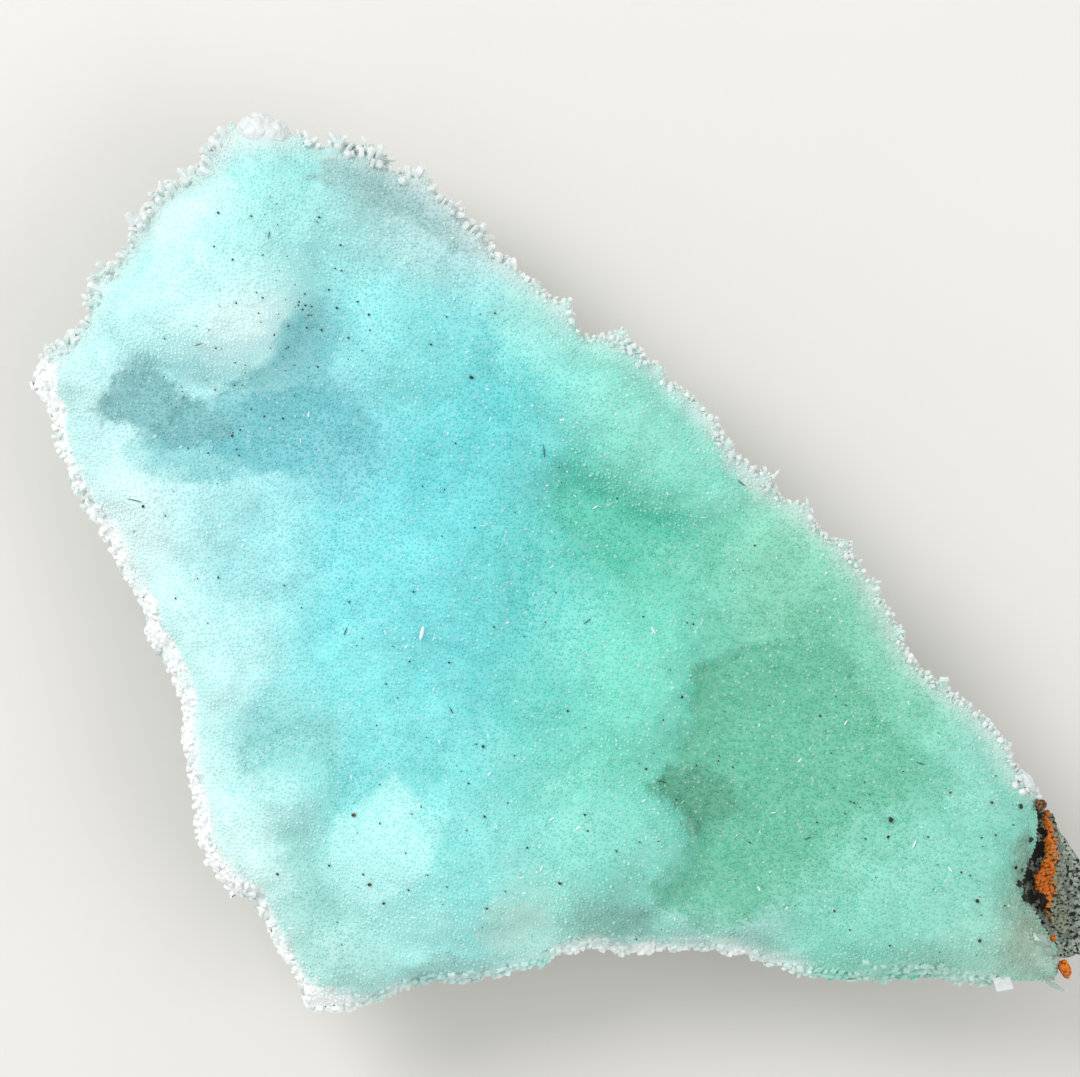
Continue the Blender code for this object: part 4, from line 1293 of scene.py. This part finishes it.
def make_lumps():
    """Oxide nodules, grey crystal lumps and the white chip around the rock end, and the white domes."""
    white = white_calcite()
    for name, lumps, shape, material, slot in (
        ("rusty_nodules", RUSTY_NODULES, nodule, bpy.data.materials["earthy_iron_oxide"], "iron_oxide"),
        ("brown_nodules", BROWN_NODULES, nodule, bpy.data.materials["limonite"], "iron_oxide"),
        ("grey_lumps", GREY_LUMPS, faceted, grey_calcite(), "aragonite"),
        ("white_chips", WHITE_CHIPS, chip, white, "aragonite"),
        ("white_domes", WHITE_DOMES, dome, white, "aragonite"),
    ):
        bm = bmesh.new()
        rng = Random(name)
        for x, y, z, long, wide, high, heading in lumps:
            turn = Matrix.Rotation(math.radians(heading), 3, "Z")
            matrix = Matrix.LocRotScale(Vector((x, y, z)) * MM, turn, Vector((long, wide, high)) * MM)
            shape(bm, matrix, rng)
        dress(link(name, mesh_from(name, bm)), material)


def make_stage(settings):
    scene = bpy.context.scene
    scene.view_settings.view_transform = "Standard"
    bm = bmesh.new()
    bmesh.ops.create_grid(bm, x_segments=1, y_segments=1, size=FLOOR_REACH)
    floor = link("paper_floor", mesh_from("paper_floor", bm))
    floor.data.materials.append(studio_paper(settings))

    world = bpy.data.worlds.new("studio")
    world.use_nodes = True
    background = world.node_tree.nodes["Background"]
    background.inputs["Color"].default_value = linear("FFFFFF")
    background.inputs["Strength"].default_value = settings.room
    scene.world = world

    middle = Vector((0.0, 0.0, RIM_PLANE * MM))
    for (name, direction, distance, size), power in zip(SOFTBOXES, (settings.key, settings.fill)):
        lamp = bpy.data.lights.new(name, "AREA")
        lamp.shape = "DISK"
        lamp.size = size
        lamp.energy = power
        placed = link(name, lamp)
        away = Vector(direction).normalized()
        placed.location = middle + away * distance
        placed.rotation_euler = away.to_track_quat("Z", "Y").to_euler()

    camera = bpy.data.cameras.new("camera")
    camera.lens = camera.sensor_width * settings.distance / (PICTURE_WIDTH * MM)
    camera.clip_end = CLIP_END
    scene.camera = link("camera", camera)
    x, y = PICTURE_MIDDLE
    scene.camera.location = (x * MM, y * MM, RIM_PLANE * MM + settings.distance)


class SPECIMEN_OT_crust(bpy.types.Operator):
    """Build the milky blue-green crust with its billows, lobes and fractures"""

    bl_idname = "specimen.crust"
    bl_label = "Aragonite crust"

    def execute(self, context):
        make_crust(context.scene.specimen_crust)
        return {"FINISHED"}


class SPECIMEN_OT_druse(bpy.types.Operator):
    """Cover the face with its druse of tiny crystals"""

    bl_idname = "specimen.druse"
    bl_label = "Sugary druse"

    def execute(self, context):
        make_druse(context.scene.specimen_druse)
        return {"FINISHED"}


class SPECIMEN_OT_rim(bpy.types.Operator):
    """Set the blunt glassy crystals along the grown rims"""

    bl_idname = "specimen.rim"
    bl_label = "Rim crystals"

    def execute(self, context):
        make_rim(context.scene.specimen_rim)
        return {"FINISHED"}


class SPECIMEN_OT_fracture(bpy.types.Operator):
    """Stand the snapped crystals on the fractures"""

    bl_idname = "specimen.fracture"
    bl_label = "Broken crystals"

    def execute(self, context):
        make_fracture(context.scene.specimen_rim)
        return {"FINISHED"}


class SPECIMEN_OT_specks(bpy.types.Operator):
    """Strew the dark grains, needles, rusty grains and glinting blades over the druse"""

    bl_idname = "specimen.specks"
    bl_label = "Grains on the druse"

    def execute(self, context):
        make_specks()
        return {"FINISHED"}


class SPECIMEN_OT_rock(bpy.types.Operator):
    """Break the host rock's faces into flakes"""

    bl_idname = "specimen.rock"
    bl_label = "Host rock"

    def execute(self, context):
        make_rock(context.scene.specimen_rock)
        return {"FINISHED"}


class SPECIMEN_OT_seam(bpy.types.Operator):
    """Add the iron oxide seam and the lumps around it"""

    bl_idname = "specimen.seam"
    bl_label = "Iron oxide seam"

    def execute(self, context):
        make_seam(context.scene.specimen_seam)
        make_lumps()
        return {"FINISHED"}


class SPECIMEN_OT_stage(bpy.types.Operator):
    """Lay out the floor, the soft light and the camera above the crystal face"""

    bl_idname = "specimen.stage"
    bl_label = "Studio"

    def execute(self, context):
        make_stage(context.scene.specimen_stage)
        return {"FINISHED"}


OPERATORS = (
    SPECIMEN_OT_crust, SPECIMEN_OT_druse, SPECIMEN_OT_rim, SPECIMEN_OT_fracture, SPECIMEN_OT_specks,
    SPECIMEN_OT_rock, SPECIMEN_OT_seam, SPECIMEN_OT_stage,
)
SETTINGS = {
    "specimen_crust": CrustSettings,
    "specimen_druse": DruseSettings,
    "specimen_rim": RimSettings,
    "specimen_rock": RockSettings,
    "specimen_seam": SeamSettings,
    "specimen_stage": StageSettings,
}


class SPECIMEN_PT_panel(bpy.types.Panel):
    """The specimen's parts, in the order that they are built"""

    bl_idname = "SPECIMEN_PT_panel"
    bl_label = "Specimen"
    bl_space_type = "VIEW_3D"
    bl_region_type = "UI"
    bl_category = "Specimen"

    def draw(self, context):
        for operator in OPERATORS:
            self.layout.operator(operator.bl_idname)
        for name, group in SETTINGS.items():
            box = self.layout.box()
            box.label(text=group.__doc__)
            for field in group.__annotations__:
                box.prop(getattr(context.scene, name), field)


def register():
    for group in SETTINGS.values():
        bpy.utils.register_class(group)
    for name, group in SETTINGS.items():
        setattr(bpy.types.Scene, name, bpy.props.PointerProperty(type=group))
    for cls in (*OPERATORS, SPECIMEN_PT_panel):
        bpy.utils.register_class(cls)


def unregister():
    for cls in (SPECIMEN_PT_panel, *reversed(OPERATORS)):
        bpy.utils.unregister_class(cls)
    for name, group in reversed(SETTINGS.items()):
        delattr(bpy.types.Scene, name)
        bpy.utils.unregister_class(group)


def main():
    register()
    for operator in OPERATORS:
        family, name = operator.bl_idname.split(".")
        getattr(getattr(bpy.ops, family), name)()


if __name__ == "__main__":
    main()
